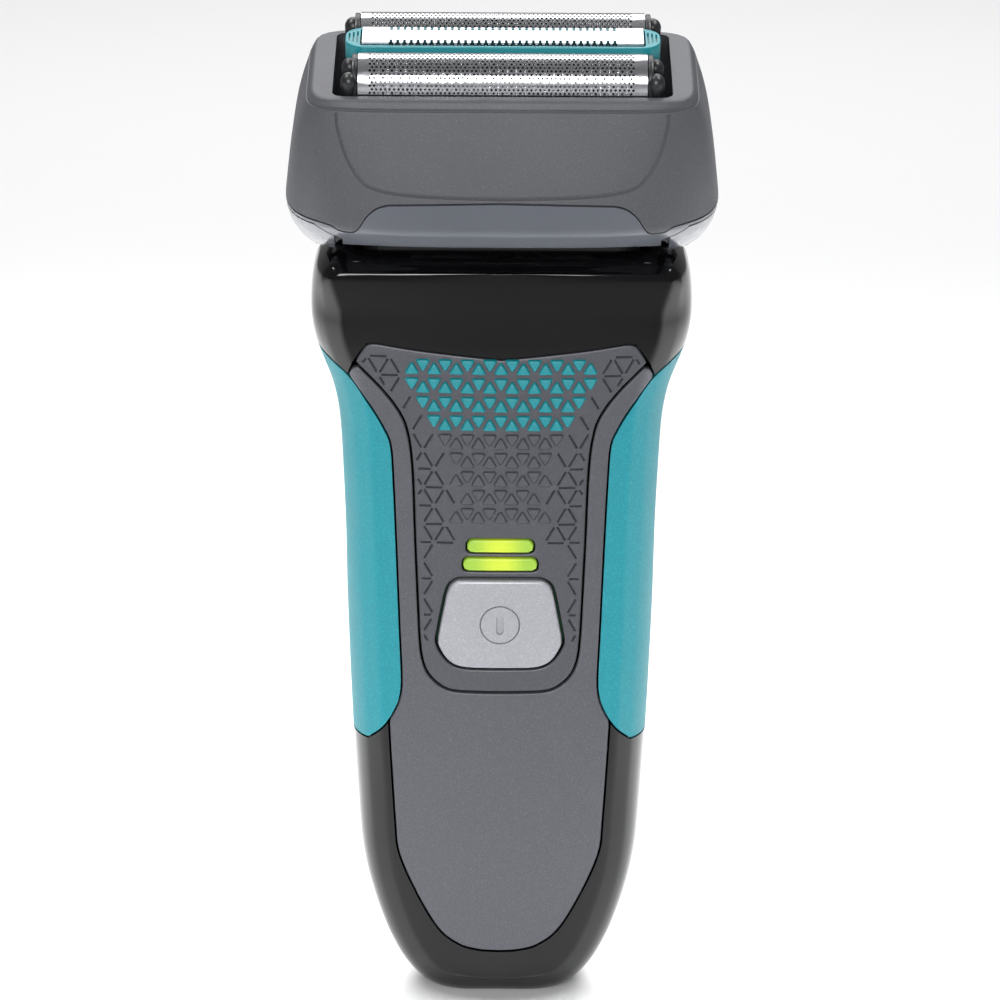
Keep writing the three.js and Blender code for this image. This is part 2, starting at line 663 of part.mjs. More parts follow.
function popupKnob() {
  const low = popup.knobZ - popup.knobHeight / 2;
  const body = handleSolid(-popup.knobProud).intersect(block(-popup.knobHalf, popup.knobHalf,
    popup.floorY + popup.knobSeat + gap, far, low, low + popup.knobHeight));
  const ribs = [1, 2, 3, 4].map((i) => {
    const z = low + (i * popup.knobHeight) / 5;
    return block(-popup.knobHalf + 1, popup.knobHalf - 1, smoothAlong(rearDepth, z) + 0.45, far,
      z - popup.knobRib, z + popup.knobRib);
  });
  return body.subtract(join(ribs));
}

function toothed(half, y0, y1, z0, z1, count, depth) {
  const plate = block(-half, half, y0, y1, z0, z1);
  const pitch = (2 * half) / (count + 1);
  const notches = Array.from({ length: count }, (_, i) => {
    const x = -half + (i + 1) * pitch;
    return block(x - pitch / 4, x + pitch / 4, y0 - 1, y1 + 1, z1 - depth, z1 + 1);
  });
  return plate.subtract(join(notches));
}

const popupCombY = popup.floorY + gap + 0.4;

function popupComb() {
  const low = popup.highZ + gap;
  return toothed(popup.combHalf, popupCombY, popupCombY + popup.combThick, low,
    low + popup.combHigh, popup.teeth, popup.toothDepth);
}

function popupBlade() {
  const low = popup.highZ + gap;
  const y0 = popupCombY + popup.combThick + gap;
  return toothed(popup.combHalf - popup.bladeInset, y0, y0 + popup.bladeThick, low,
    low + popup.combHigh - 0.4, popup.teeth - 1, popup.toothDepth);
}

// ---- head shape, in the head's own frame ----
function headRadius(angle, ring, inset) {
  const [, halfWidth, front, rear, power] = ring;
  const a = halfWidth - inset;
  const b = (Math.sin(angle) < 0 ? front : rear) - inset;
  const sum = (Math.abs(Math.cos(angle)) / a) ** power + (Math.abs(Math.sin(angle)) / b) ** power;
  return 1 / sum ** (1 / power);
}

function headSolid(inset) {
  const positions = [];
  const point = (ring, k) => {
    const angle = (k / head.ring) * 2 * Math.PI;
    const r = headRadius(angle, ring, inset);
    return [r * Math.cos(angle), r * Math.sin(angle), ring[0]];
  };
  for (let k = 0; k < head.ring; k++) {
    const next = (k + 1) % head.ring;
    const first = headRings[0];
    const last = headRings[headRings.length - 1];
    positions.push(0, 0, first[0], ...point(first, k), ...point(first, next));
    positions.push(0, 0, last[0], ...point(last, next), ...point(last, k));
    for (let i = 0; i + 1 < headRings.length; i++) {
      const [a, b] = [point(headRings[i], k), point(headRings[i], next)];
      const [c, d] = [point(headRings[i + 1], k), point(headRings[i + 1], next)];
      positions.push(...a, ...c, ...b, ...b, ...c, ...d);
    }
  }
  const geometry = new THREE.BufferGeometry();
  geometry.setAttribute("position", new THREE.Float32BufferAttribute(positions, 3));
  return toSolid(geometry);
}

const headOuter = headSolid(0);
const headInner = headSolid(head.wall);
const below = (h) => block(-far, far, -far, far, -far, h);
const aboveH = (h) => block(-far, far, -far, far, h, far);

// everything above the parting line, moved up by `shift`
function overParting(shift) {
  const line = parting.map(([x, h]) => [x, h + shift]);
  const left = line.slice(1).map(([x, h]) => [-x, h]).reverse();
  return frontPrism([...left, ...line, [45, far], [-45, far]], -far, far);
}

// pivot centre in the head's frame
const pivotV = -head.originY * Math.cos(head.tilt) + (pivot.z - head.originZ) * Math.sin(head.tilt);
const pivotH = head.originY * Math.sin(head.tilt) + (pivot.z - head.originZ) * Math.cos(head.tilt);

function headFrame() {
  const hollow = headInner.intersect(below(-head.rimThick));
  const mouthV = foil.v + foil.radius + foil.mouthPlay;
  const mouth = topPrism(roundedRectangle(head.rimHalf, mouthV, head.rimRadius), -far, 1);
  return headOuter.subtract(hollow).intersect(overParting(gap / 2)).subtract(mouth);
}

function cheekRegion(extra, innerX, side) {
  const x0 = side > 0 ? innerX : -far;
  const x1 = side > 0 ? far : -innerX;
  return block(x0, x1, -cheek.front - extra, cheek.front + extra, cheek.lowH - extra,
    cheek.highH + extra);
}

function headBase() {
  const hollow = headInner.intersect(aboveH(head.floorH));
  let made = headOuter.subtract(hollow).subtract(overParting(-gap / 2));
  made = made.subtract(sidePrism(headClearance.profile, -headClearance.half, headClearance.half));
  const notchX = cheek.innerX - cheek.travel - gap;
  for (const side of [-1, 1]) made = made.subtract(cheekRegion(gap, notchX, side));
  const mouthX = pivot.earX + pivot.earThick + 1;
  made = made.subtract(topPrism(roundedRectangle(mouthX, 8, 2), -far, 0));
  const railHigh = yoke.lowH - gap;
  for (const side of [-1, 1]) {
    const v = side * head.railV;
    const halfRail = head.railThick / 2;
    made = made.add(block(-head.railHalf, head.railHalf, v - halfRail, v + halfRail,
      head.floorH - 1, railHigh));
    const seatX = side * (cheek.seatX + 0.7);
    made = made.add(block(seatX - 0.7, seatX + 0.7, -2.5, 2.5, head.floorH - 1, cheek.springH + 2.2));
  }
  made = made.subtract(bar(pivot.pin + pivot.play, "x", -pivot.reach - gap, pivot.reach + gap,
    pivotV, pivotH, 20));
  return clean(made);
}

function releaseButton(side) {
  const shell = headOuter.subtract(headSolid(cheek.wall));
  return clean(shell.intersect(cheekRegion(0, cheek.innerX, side)));
}

function releaseSpring(side) {
  const steps = springTurns * springSteps;
  const points = [];
  for (let i = 0; i <= steps; i++) {
    const angle = (i / springSteps) * 2 * Math.PI;
    const x = side * (cheek.springX + (cheek.springLength * i) / steps);
    const v = cheek.coil * Math.cos(angle);
    points.push(new THREE.Vector3(x, v, cheek.springH + cheek.coil * Math.sin(angle)));
  }
  return coilSolid(points, cheek.wire);
}

const springTurns = 3;
const springSteps = 7; // straight steps in one turn

function coilSolid(points, wire) {
  const section = new THREE.Shape();
  section.absarc(0, 0, wire, 0, 2 * Math.PI);
  const path = new THREE.CatmullRomCurve3(points);
  const geometry = new THREE.ExtrudeGeometry(section, {
    steps: points.length - 1, curveSegments: 3, bevelEnabled: false, extrudePath: path,
  });
  return toSolid(geometry);
}

// ---- foils, trimmer and cutters ----
function arch(radius, centreH, lowH, half) {
  const points = [[-radius, lowH], [radius, lowH]];
  for (let i = 0; i <= foil.segments; i++) {
    const angle = (i / foil.segments) * Math.PI;
    points.push([radius * Math.cos(angle), centreH + radius * Math.sin(angle)]);
  }
  return sidePrism(points, -half, half);
}

const foilCentreH = foil.top - foil.radius;

function foilSheet(side) {
  return arch(foil.radius, foilCentreH, foil.skirtH, foil.half)
    .subtract(arch(foil.radius - foil.thick, foilCentreH, foil.skirtH - 1, foil.half + 1))
    .translate([0, side * foil.v, 0]);
}

function foilFrameSolid(side) {
  const { half, halfDepth, rail, lowH, highH, endWall, capThick, capRise } = foilFrame;
  const openX = half - endWall;
  const openV = halfDepth - rail;
  let made = block(-half, half, -halfDepth, halfDepth, lowH, highH)
    .subtract(block(-openX, openX, -openV, openV, lowH - 1, highH + 1));
  for (const s of [-1, 1]) {
    const x = s * (foil.half + gap + capThick / 2);
    const cap = arch(foil.radius - 0.2, foilCentreH, highH - 0.2, capThick / 2).translate([x, 0, 0]);
    made = made.add(cap.intersect(below(capRise)));
  }
  return made.translate([0, side * foil.v, 0]);
}

function trimmerFrame() {
  const ring = topPrism(roundedRectangle(trimmer.half, trimmer.depth / 2, 3), trimmer.low, trimmer.top)
    .subtract(topPrism(roundedRectangle(trimmer.combHalf + gap, trimmer.combDepth / 2 + gap, 0.4),
      trimmer.low - 1, trimmer.top + 1));
  let made = ring;
  for (const side of [-1, 1]) {
    const inner = trimmer.combHalf + gap;
    for (let i = 0; i < trimmer.ribs; i++) {
      const x = side * (inner + trimmer.ribHalf * 2 + i * trimmer.ribPitch);
      const v = trimmer.legHalf - i * 0.2;
      made = made.add(block(x - trimmer.ribHalf, x + trimmer.ribHalf, -v, v, trimmer.top - 0.2,
        trimmer.top + trimmer.ribHigh));
    }
    const x0 = side > 0 ? inner : -inner - trimmer.legThick;
    made = made.add(block(x0, x0 + trimmer.legThick, -trimmer.legHalf, trimmer.legHalf,
      trimmer.legH, trimmer.low + 0.2));
  }
  return made;
}

function trimmerComb() {
  const low = trimmer.combTop - trimmer.combThick;
  const plate = block(-trimmer.combHalf, trimmer.combHalf, -trimmer.combDepth / 2,
    trimmer.combDepth / 2, low, trimmer.combTop);
  const slots = [];
  for (let i = 0; i < trimmer.slots; i++) {
    const x = (i - (trimmer.slots - 1) / 2) * trimmer.pitch;
    for (const side of [-1, 1]) {
      const edge = (side * trimmer.combDepth) / 2;
      const root = edge - side * trimmer.slotDepth;
      slots.push(block(x - trimmer.slotWidth / 2, x + trimmer.slotWidth / 2,
        Math.min(edge + side, root), Math.max(edge + side, root), low - 1, trimmer.combTop + 1));
    }
  }
  return plate.subtract(join(slots));
}

function interceptBlade() {
  const high = trimmer.combTop - trimmer.combThick - gap;
  const low = high - trimmer.bladeThick;
  const halfDepth = trimmer.bladeDepth / 2;
  const plate = block(-trimmer.bladeHalf, trimmer.bladeHalf, -halfDepth, halfDepth, low, high);
  const slots = [];
  for (let i = 0; i < trimmer.bladeSlots; i++) {
    const x = (i - (trimmer.bladeSlots - 1) / 2) * trimmer.bladePitch;
    for (const side of [-1, 1]) {
      const v = side * halfDepth;
      slots.push(block(x - trimmer.notch, x + trimmer.notch, v - trimmer.notchDepth,
        v + trimmer.notchDepth, low - 1, high + 1));
    }
  }
  return plate.subtract(join(slots)).add(block(-2, 2, -1, 1, trimmer.legH, low + 0.2));
}

function cutterSolid(side) {
  const { half, radius, blades, blade, lowH } = cutter;
  const parts = [block(-half, half, -cutter.spine, cutter.spine, lowH, foilCentreH)];
  for (let i = 0; i < blades; i++) {
    const x = -half + blade / 2 + (i * (2 * half - blade)) / (blades - 1);
    parts.push(arch(radius, foilCentreH, foilCentreH - 0.6, blade / 2).translate([x, 0, 0]));
  }
  return join(parts).translate([0, side * foil.v, 0]);
}

function oscillatorYoke() {
  const { half, depth, lowH, thick, armH, arm, slotX, slotV } = yoke;
  const high = lowH + thick;
  let made = block(-half, half, -10.5, 10.5, lowH, high);
  for (const sx of [-1, 1]) {
    for (const sv of [-1, 1]) {
      const x0 = sx > 0 ? 6 : -half - 1;
      const v0 = sv > 0 ? depth / 2 + 1.8 : -10.5 - 1;
      made = made.subtract(block(x0, x0 + half - 5, v0, v0 + 6.7, lowH - 1, high + 1));
    }
  }
  for (const side of [-1, 1]) {
    made = made.add(bar(arm, "z", high - 0.2, armH, 0, side * foil.v, 16));
    made = made.add(bar(1, "z", armH - 0.2, cutter.lowH - foil.float - gap * 2, 0, side * foil.v, 12));
  }
  const pocket = block(-slotX, slotX, -slotV, slotV, lowH - 1, high + 1);
  return made.subtract(pocket);
}

function springOnYoke(side) {
  const { coil, wire, highH } = cutterSpring;
  const low = yoke.armH + wire + gap;
  const steps = springTurns * springSteps;
  const points = [];
  for (let i = 0; i <= steps; i++) {
    const angle = (i / springSteps) * 2 * Math.PI;
    const h = low + ((highH - low) * i) / steps;
    points.push(new THREE.Vector3(coil * Math.cos(angle), side * foil.v + coil * Math.sin(angle), h));
  }
  return coilSolid(points, wire);
}

// ---- finishes ----
const glossBlack = finish(0x17181b, 0.15);
const satinGrey = finish(0x5c5e64, 0.38);
const darkInsert = finish(0x4a4c52, 0.5);
const tealRubber = finish(0x10a3ac, 0.6);
const tealPlastic = finish(0x12a5ae, 0.4);
const matteGrey = finish(0x54565b, 0.62);
const glossGrey = finish(0x6f747c, 0.22);
const silver = finish(0xb9babf, 0.35, 0.6);
const lime = finish(0xc2dc2c, 0.4);
const steel = finish(0xd8dadd, 0.22, 1);
const blackPlastic = finish(0x1d1e21, 0.5);
const circuitGreen = finish(0x1f5a3c, 0.5);
const cellSleeve = finish(0x2f6f9c, 0.45);
const whitePlastic = finish(0xd9d9d4, 0.5);
const brass = finish(0xb8a25c, 0.35, 1);
const softRubber = finish(0x26272a, 0.8);

// ---- assembly ----
const shaver = new THREE.Group();
const put = (name, made, material) => shaver.add(toMesh(name, made, material));

put("housing_front", housingFront(), glossBlack);
put("housing_rear", housingRear(), glossBlack);
put("front_fascia", frontFascia(), satinGrey);
put("texture_insert", textureInsert(), darkInsert);
put("grip_left", gripPiece(-1), tealRubber);
put("grip_right", gripPiece(1), tealRubber);
put("charge_light_upper", lightPipe(light.upper), lime);
put("charge_light_lower", lightPipe(light.lower), lime);
put("power_button", powerButton(), silver);
put("chassis", chassisSolid(), blackPlastic);
put("circuit_board", circuitBoard(), circuitGreen);
put("tact_switch", tactSwitchSolid(), blackPlastic);
put("battery_cell", cellSolid(), cellSleeve);
put("battery_contact_top", cellContact(cell.lowZ + cell.length + gap), brass);
put("battery_contact_bottom", cellContact(cell.lowZ - gap - cell.contactThick), brass);
put("motor_case", motorCase(), steel);
put("motor_shaft", motorShaft(), steel);
put("eccentric_cam", eccentricCam(), whitePlastic);
put("drive_bridge", driveBridge(), whitePlastic);
put("drive_post", drivePost(), steel);
put("neck_deck", neckDeck(), blackPlastic);
put("shaft_seal", shaftSeal(), softRubber);
put("pivot_bracket", pivotBracket(), blackPlastic);
put("charging_socket", chargingSocket(), blackPlastic);
for (const [name, side] of [["left", -1], ["right", 1]]) {
  put("pivot_pin_" + name, pivotPin(side), steel);
  put("socket_pin_" + name, socketPin(side), brass);
}
for (const [name, x, z] of screw.places) put("housing_screw_" + name, screwSolid(x, z), steel);
put("popup_carrier", popupCarrier(), blackPlastic);
put("popup_thumb_slide", popupKnob(), silver);
put("popup_comb", popupComb(), steel);
put("popup_blade", popupBlade(), steel);

const headGroup = new THREE.Group();
headGroup.position.set(0, head.originY, head.originZ);
headGroup.rotation.x = head.tilt;
shaver.add(headGroup);
const putHead = (name, made, material) => headGroup.add(toMesh(name, made, material));

putHead("head_base", headBase(), glossGrey);
putHead("head_frame", headFrame(), matteGrey);
for (const [name, side] of [["left", -1], ["right", 1]]) {
  putHead("release_button_" + name, releaseButton(side), glossGrey);
  putHead("release_spring_" + name, releaseSpring(side), steel);
}
for (const [name, side] of [["front", -1], ["rear", 1]]) {
  putHead("foil_" + name, foilSheet(side), steel);
  putHead("foil_frame_" + name, foilFrameSolid(side), blackPlastic);
  putHead("cutter_" + name, cutterSolid(side), steel);
  putHead("cutter_spring_" + name, springOnYoke(side), steel);
}
putHead("trimmer_frame", trimmerFrame(), tealPlastic);
putHead("trimmer_comb", trimmerComb(), steel);
putHead("intercept_blade", interceptBlade(), steel);
putHead("oscillator_yoke", oscillatorYoke(), whitePlastic);

// the origin is under the middle of the whole shaver
shaver.updateMatrixWorld(true);
const reach = new THREE.Box3().setFromObject(shaver);
shaver.position.y = -(reach.min.y + reach.max.y) / 2;

export default shaver;
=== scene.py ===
import json
import math

import bpy
import numpy as np
from mathutils import Matrix, Vector
from mathutils.bvhtree import BVHTree
from mathutils.geometry import delaunay_2d_cdt, interpolate_bezier


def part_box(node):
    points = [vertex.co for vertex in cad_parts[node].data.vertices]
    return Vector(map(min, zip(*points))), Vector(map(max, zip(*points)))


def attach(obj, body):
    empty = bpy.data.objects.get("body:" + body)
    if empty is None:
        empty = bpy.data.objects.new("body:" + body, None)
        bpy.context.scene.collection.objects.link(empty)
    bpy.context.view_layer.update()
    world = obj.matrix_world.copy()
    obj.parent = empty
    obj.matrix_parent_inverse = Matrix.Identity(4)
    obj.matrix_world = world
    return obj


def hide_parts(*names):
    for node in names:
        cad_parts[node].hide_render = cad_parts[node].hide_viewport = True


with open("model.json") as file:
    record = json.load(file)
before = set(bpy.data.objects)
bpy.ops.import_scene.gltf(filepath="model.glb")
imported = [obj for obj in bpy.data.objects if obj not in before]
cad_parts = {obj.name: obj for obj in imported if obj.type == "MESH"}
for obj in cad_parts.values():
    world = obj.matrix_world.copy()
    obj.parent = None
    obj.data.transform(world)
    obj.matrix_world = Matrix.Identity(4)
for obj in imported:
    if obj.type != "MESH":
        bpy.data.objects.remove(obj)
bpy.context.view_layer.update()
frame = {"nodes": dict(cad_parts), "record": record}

mm = 0.001  # shapes are worked out in millimetres and made in metres
low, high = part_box("charging_socket")
midY = (low.y + high.y) / 2 / mm  # the handle's middle plane
print("frame loaded, middle plane at", round(midY, 3), "mm")

# small helpers


def hexColour(text):
    # an sRGB hex value as linear RGBA
    parts = [int(text[i:i + 2], 16) / 255 for i in (1, 3, 5)]
    return [p / 12.92 if p <= 0.04045 else ((p + 0.055) / 1.055) ** 2.4 for p in parts] + [1]


def select(*objects):
    bpy.ops.object.select_all(action="DESELECT")
    for o in objects:
        o.select_set(True)
    bpy.context.view_layer.objects.active = objects[0]


def newMesh(name, points, faces):
    # points in millimetres from the handle's own origin
    mesh = bpy.data.meshes.new(name)
    placed = [(x * mm, (y + midY) * mm, z * mm) for x, y, z in points]
    mesh.from_pydata(placed, [], faces)
    mesh.validate()
    made = bpy.data.objects.new(name, mesh)
    bpy.context.scene.collection.objects.link(made)
    return made


def applyModifiers(piece):
    select(piece)
    for modifier in list(piece.modifiers):
        bpy.ops.object.modifier_apply(modifier=modifier.name)
    return piece


def boolean(piece, how, *tools, keep=False):
    # cuts, joins or crosses closed meshes and leaves the tools out afterwards
    for tool in tools:
        step = piece.modifiers.new("boolean", "BOOLEAN")
        step.operation = how
        step.solver = "MANIFOLD"
        step.object = tool
        applyModifiers(piece)
        if not keep:
            bpy.data.objects.remove(tool)
    return piece


def copyOf(piece, name):
    made = piece.copy()
    made.data = piece.data.copy()
    made.name = name
    bpy.context.scene.collection.objects.link(made)
    return made


def smooth(piece, angle=35):
    select(piece)
    bpy.ops.object.shade_smooth_by_angle(angle=math.radians(angle))
    return piece


def joined(name, pieces):
    select(*pieces)
    if len(pieces) > 1:
        bpy.ops.object.join()
    made = bpy.context.view_layer.objects.active
    made.name = name
    made.data.name = name
    return made


def finishPiece(piece, name, material, body, replaced=()):
    # the last step of every piece: name, material, body, slot and the nodes it stands for
    piece.name = name
    piece.data.name = name
    piece.data.materials.clear()
    piece.data.materials.append(material)
    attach(piece, body)
    if replaced:
        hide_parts(*replaced)
    return piece


def box(x0, x1, y0, y1, z0, z1, name="block"):
    corners = [(x, y, z) for x in (x0, x1) for y in (y0, y1) for z in (z0, z1)]
    faces = [(0, 1, 3, 2), (4, 6, 7, 5), (0, 4, 5, 1), (2, 3, 7, 6), (0, 2, 6, 4), (1, 5, 7, 3)]
    return newMesh(name, corners, faces)


def prism(outline, y0, y1, name="prism"):
    # an (x, z) outline drawn out along y
    n = len(outline)
    points = [(x, y, z) for y in (y0, y1) for x, z in outline]
    sides = [(i, (i + 1) % n, n + (i + 1) % n, n + i) for i in range(n)]
    faces = [tuple(range(n - 1, -1, -1)), tuple(range(n, 2 * n))] + sides
    made = newMesh(name, points, faces)
    fixNormals(made)
    return made


def fixNormals(piece):
    select(piece)
    bpy.ops.object.mode_set(mode="EDIT")
    bpy.ops.mesh.select_all(action="SELECT")
    bpy.ops.mesh.normals_make_consistent(inside=False)
    bpy.ops.object.mode_set(mode="OBJECT")
    return piece


def softEdges(piece, width, segments=2, angle=40):
    # a rounded edge all round, as a moulded or ground piece has
    step = piece.modifiers.new("bevel", "BEVEL")
    step.width = width * mm
    step.segments = segments
    step.limit_method = "ANGLE"
    step.angle_limit = math.radians(angle)
    step.use_clamp_overlap = True
    step.harden_normals = False
    applyModifiers(piece)
    return smooth(piece)


# outlines


def signedArea(points):
    total = 0
    for (x0, z0), (x1, z1) in zip(points, points[1:] + points[:1]):
        total += x0 * z1 - x1 * z0
    return total / 2


def grow(points, distance):
    # every side of a closed outline moved outwards
    if signedArea(points) < 0:
        points = points[::-1]
    made = []
    n = len(points)
    for i in range(n):
        before, here, after = points[i - 1], points[i], points[(i + 1) % n]
        a = Vector((here[0] - before[0], here[1] - before[1])).normalized()
        b = Vector((after[0] - here[0], after[1] - here[1])).normalized()
        normalA, normalB = Vector((a.y, -a.x)), Vector((b.y, -b.x))
        middle = normalA + normalB
        if middle.length < 1e-6:
            middle = normalA
        middle.normalize()
        reach = distance / max(0.35, middle.dot(normalA))
        made.append((here[0] + middle.x * reach, here[1] + middle.y * reach))
    return made


def catmull(p0, p1, p2, p3, t):
    v0, v1 = (p2 - p0) / 2, (p3 - p1) / 2
    return (2 * p1 - 2 * p2 + v0 + v1) * t ** 3 + (-3 * p1 + 3 * p2 - 2 * v0 - v1) * t * t + v0 * t + p1


def smoothLine(points, corners=(), spacing=0.7):
    # a smooth line through the points, broken at the corners
    pts = [np.array(p, float) for p in points]
    made = []
    for i in range(len(pts) - 1):
        p1, p2 = pts[i], pts[i + 1]
        p0 = pts[i - 1] if i > 0 and i not in corners else 2 * p1 - p2
        p3 = pts[i + 2] if i + 2 < len(pts) and i + 1 not in corners else 2 * p2 - p1
        steps = max(1, int(round(np.linalg.norm(p2 - p1) / spacing)))
        for k in range(steps):
            made.append(tuple(catmull(p0, p1, p2, p3, k / steps)))
    made.append(tuple(pts[-1]))
    return made


def mirrored(half):
    # a whole outline from its right half, given from the top to the bottom
    left = [(-x, z) for x, z in half if x > 1e-6]
    return [*half, *left[::-1]]


def evenly(points, spacing, closed=True):
    # the same line with points at equal steps
    pts = [np.array(p, float) for p in points]
    if closed:
        pts.append(pts[0])
    lengths = [0.0]
    for a, b in zip(pts, pts[1:]):
        lengths.append(lengths[-1] + float(np.linalg.norm(b - a)))
    count = max(3, int(round(lengths[-1] / spacing)))
    marks = np.linspace(0, lengths[-1], count + 1)
    if closed:
        marks = marks[:-1]
    made = np.stack([np.interp(marks, lengths, [p[k] for p in pts]) for k in range(len(pts[0]))], 1)
    return [tuple(float(v) for v in p) for p in made]


def circle(x, z, radius, count):
    return [(x + radius * math.cos(2 * math.pi * i / count), z + radius * math.sin(2 * math.pi * i / count))
            for i in range(count)]


def roundedBox(half, halfHigh, radius, steps=5, x=0.0, z=0.0):
    made = []
    for quarter, (sx, sz) in enumerate([(1, 1), (-1, 1), (-1, -1), (1, -1)]):
        for k in range(steps + 1):
            angle = (quarter + k / steps) * math.pi / 2
            made.append((x + sx * (half - radius) + radius * math.cos(angle),
                         z + sz * (halfHigh - radius) + radius * math.sin(angle)))
    return made


def insideMask(points, outline):
    # which of the points lie inside a closed outline
    x, z = points[:, 0], points[:, 1]
    inside = np.zeros(len(points), bool)
    ring = np.array(outline)
    ahead = np.roll(ring, -1, axis=0)
    for (x0, z0), (x1, z1) in zip(ring, ahead):
        crosses = (z0 > z) != (z1 > z)
        if crosses.any():
            at = x0 + (z - z0) * (x1 - x0) / (z1 - z0 if z1 != z0 else 1e-12)
            inside ^= crosses & (x < at)
    return inside


def distanceTo(points, outline, closed=True):
    # the distance from each point to an outline
    ring = np.array(outline)
    ahead = np.roll(ring, -1, axis=0) if closed else ring[1:]
    if not closed:
        ring = ring[:-1]
    best = np.full(len(points), 1e9)
    for a, b in zip(ring, ahead):
        d = b - a
        share = np.clip(((points - a) @ d) / max(1e-12, d @ d), 0, 1)
        best = np.minimum(best, np.hypot(*(points - a - share[:, None] * d).T))
    return best

# materials


def addNode(tree, kind, settings=None, links=None, **inputs):
    # one node with its settings, its input values and what feeds it
    node = tree.nodes.new(kind)
    for key, value in (settings or {}).items():
        setattr(node, key, value)
    for key, value in inputs.items():
        node.inputs[key.replace("_", " ")].default_value = value
    for key, source in (links or {}).items():
        tree.links.new(source, node.inputs[key])
    return node


def startMaterial(name, colour, roughness, metallic=0.0, coat=0.0, coatRoughness=0.05, ior=1.5):
    material = bpy.data.materials.new(name)
    material.use_nodes = True
    tree = material.node_tree
    shader = tree.nodes["Principled BSDF"]
    shader.inputs["Base Color"].default_value = hexColour(colour)
    shader.inputs["Roughness"].default_value = roughness
    shader.inputs["Metallic"].default_value = metallic
    shader.inputs["Coat Weight"].default_value = coat
    shader.inputs["Coat Roughness"].default_value = coatRoughness
    if not metallic:
        shader.inputs["IOR"].default_value = ior
    place = addNode(tree, "ShaderNodeTexCoord")
    return material, tree, shader, place.outputs["Object"]


def grainSize(size):
    # noise scale, per metre, for a grain of that many millimetres
    return 1 / (size * mm)


def moulded(name, colour, darker, roughness, grain, depth, mottle=0.25, coat=0.0, swing=0.08):
    # moulded plastic: a spark-eroded or polished tool leaves a fine grain, and handling a faint unevenness
    material, tree, shader, place = startMaterial(name, colour, roughness, coat=coat)
    fine = addNode(tree, "ShaderNodeTexNoise", links={"Vector": place}, Scale=grainSize(grain), Detail=3.0)
    broad = addNode(tree, "ShaderNodeTexNoise", links={"Vector": place}, Scale=grainSize(14), Detail=4.0)
    mix = addNode(tree, "ShaderNodeMix", {"data_type": "RGBA"}, {"Factor": broad.outputs["Fac"]})
    mix.inputs["A"].default_value = hexColour(colour)
    mix.inputs["B"].default_value = hexColour(darker)
    grey = addNode(tree, "ShaderNodeRGBToBW", links={"Color": fine.outputs["Color"]})
    speckle = addNode(tree, "ShaderNodeMix", {"data_type": "RGBA", "blend_type": "OVERLAY"},
                      {"A": mix.outputs["Result"], "B": grey.outputs["Val"]}, Factor=mottle)
    tree.links.new(speckle.outputs["Result"], shader.inputs["Base Color"])
    rough = addNode(tree, "ShaderNodeMapRange", links={"Value": broad.outputs["Fac"]})
    rough.inputs["To Min"].default_value = roughness - swing / 2
    rough.inputs["To Max"].default_value = roughness + swing / 2
    tree.links.new(rough.outputs["Result"], shader.inputs["Roughness"])
    bump = addNode(tree, "ShaderNodeBump", links={"Height": fine.outputs["Fac"]}, Distance=depth * mm,
                   Strength=0.6)
    tree.links.new(bump.outputs["Normal"], shader.inputs["Normal"])
    return material


def flecked(name, colour, bright, dark, roughness, fleck, share, depth, metallic=0.0):
    # paint or rubber with mica flecks: small cells, each a little brighter or darker than the ground
    material, tree, shader, place = startMaterial(name, colour, roughness, metallic)
    cells = addNode(tree, "ShaderNodeTexVoronoi", links={"Vector": place}, Scale=grainSize(fleck))
    value = addNode(tree, "ShaderNodeSeparateColor", links={"Color": cells.outputs["Color"]})
    broad = addNode(tree, "ShaderNodeTexNoise", links={"Vector": place}, Scale=grainSize(9), Detail=3.0)
    ground = addNode(tree, "ShaderNodeMix", {"data_type": "RGBA"}, {"Factor": value.outputs["Red"]})
    ground.inputs["A"].default_value = hexColour(dark)
    ground.inputs["B"].default_value = hexColour(colour)
    pick = addNode(tree, "ShaderNodeMapRange", links={"Value": value.outputs["Green"]})
    pick.inputs["From Min"].default_value = 1 - share
    lit = addNode(tree, "ShaderNodeMix", {"data_type": "RGBA"},
                  {"Factor": pick.outputs["Result"], "A": ground.outputs["Result"]})
    lit.inputs["B"].default_value = hexColour(bright)
    tree.links.new(lit.outputs["Result"], shader.inputs["Base Color"])
    rough = addNode(tree, "ShaderNodeMapRange", links={"Value": broad.outputs["Fac"]})
    rough.inputs["To Min"].default_value = roughness - 0.05
    rough.inputs["To Max"].default_value = roughness + 0.05
    tree.links.new(rough.outputs["Result"], shader.inputs["Roughness"])
    bump = addNode(tree, "ShaderNodeBump", links={"Height": cells.outputs["Distance"]}, Distance=depth * mm,
                   Strength=0.5)
    tree.links.new(bump.outputs["Normal"], shader.inputs["Normal"])
    return material


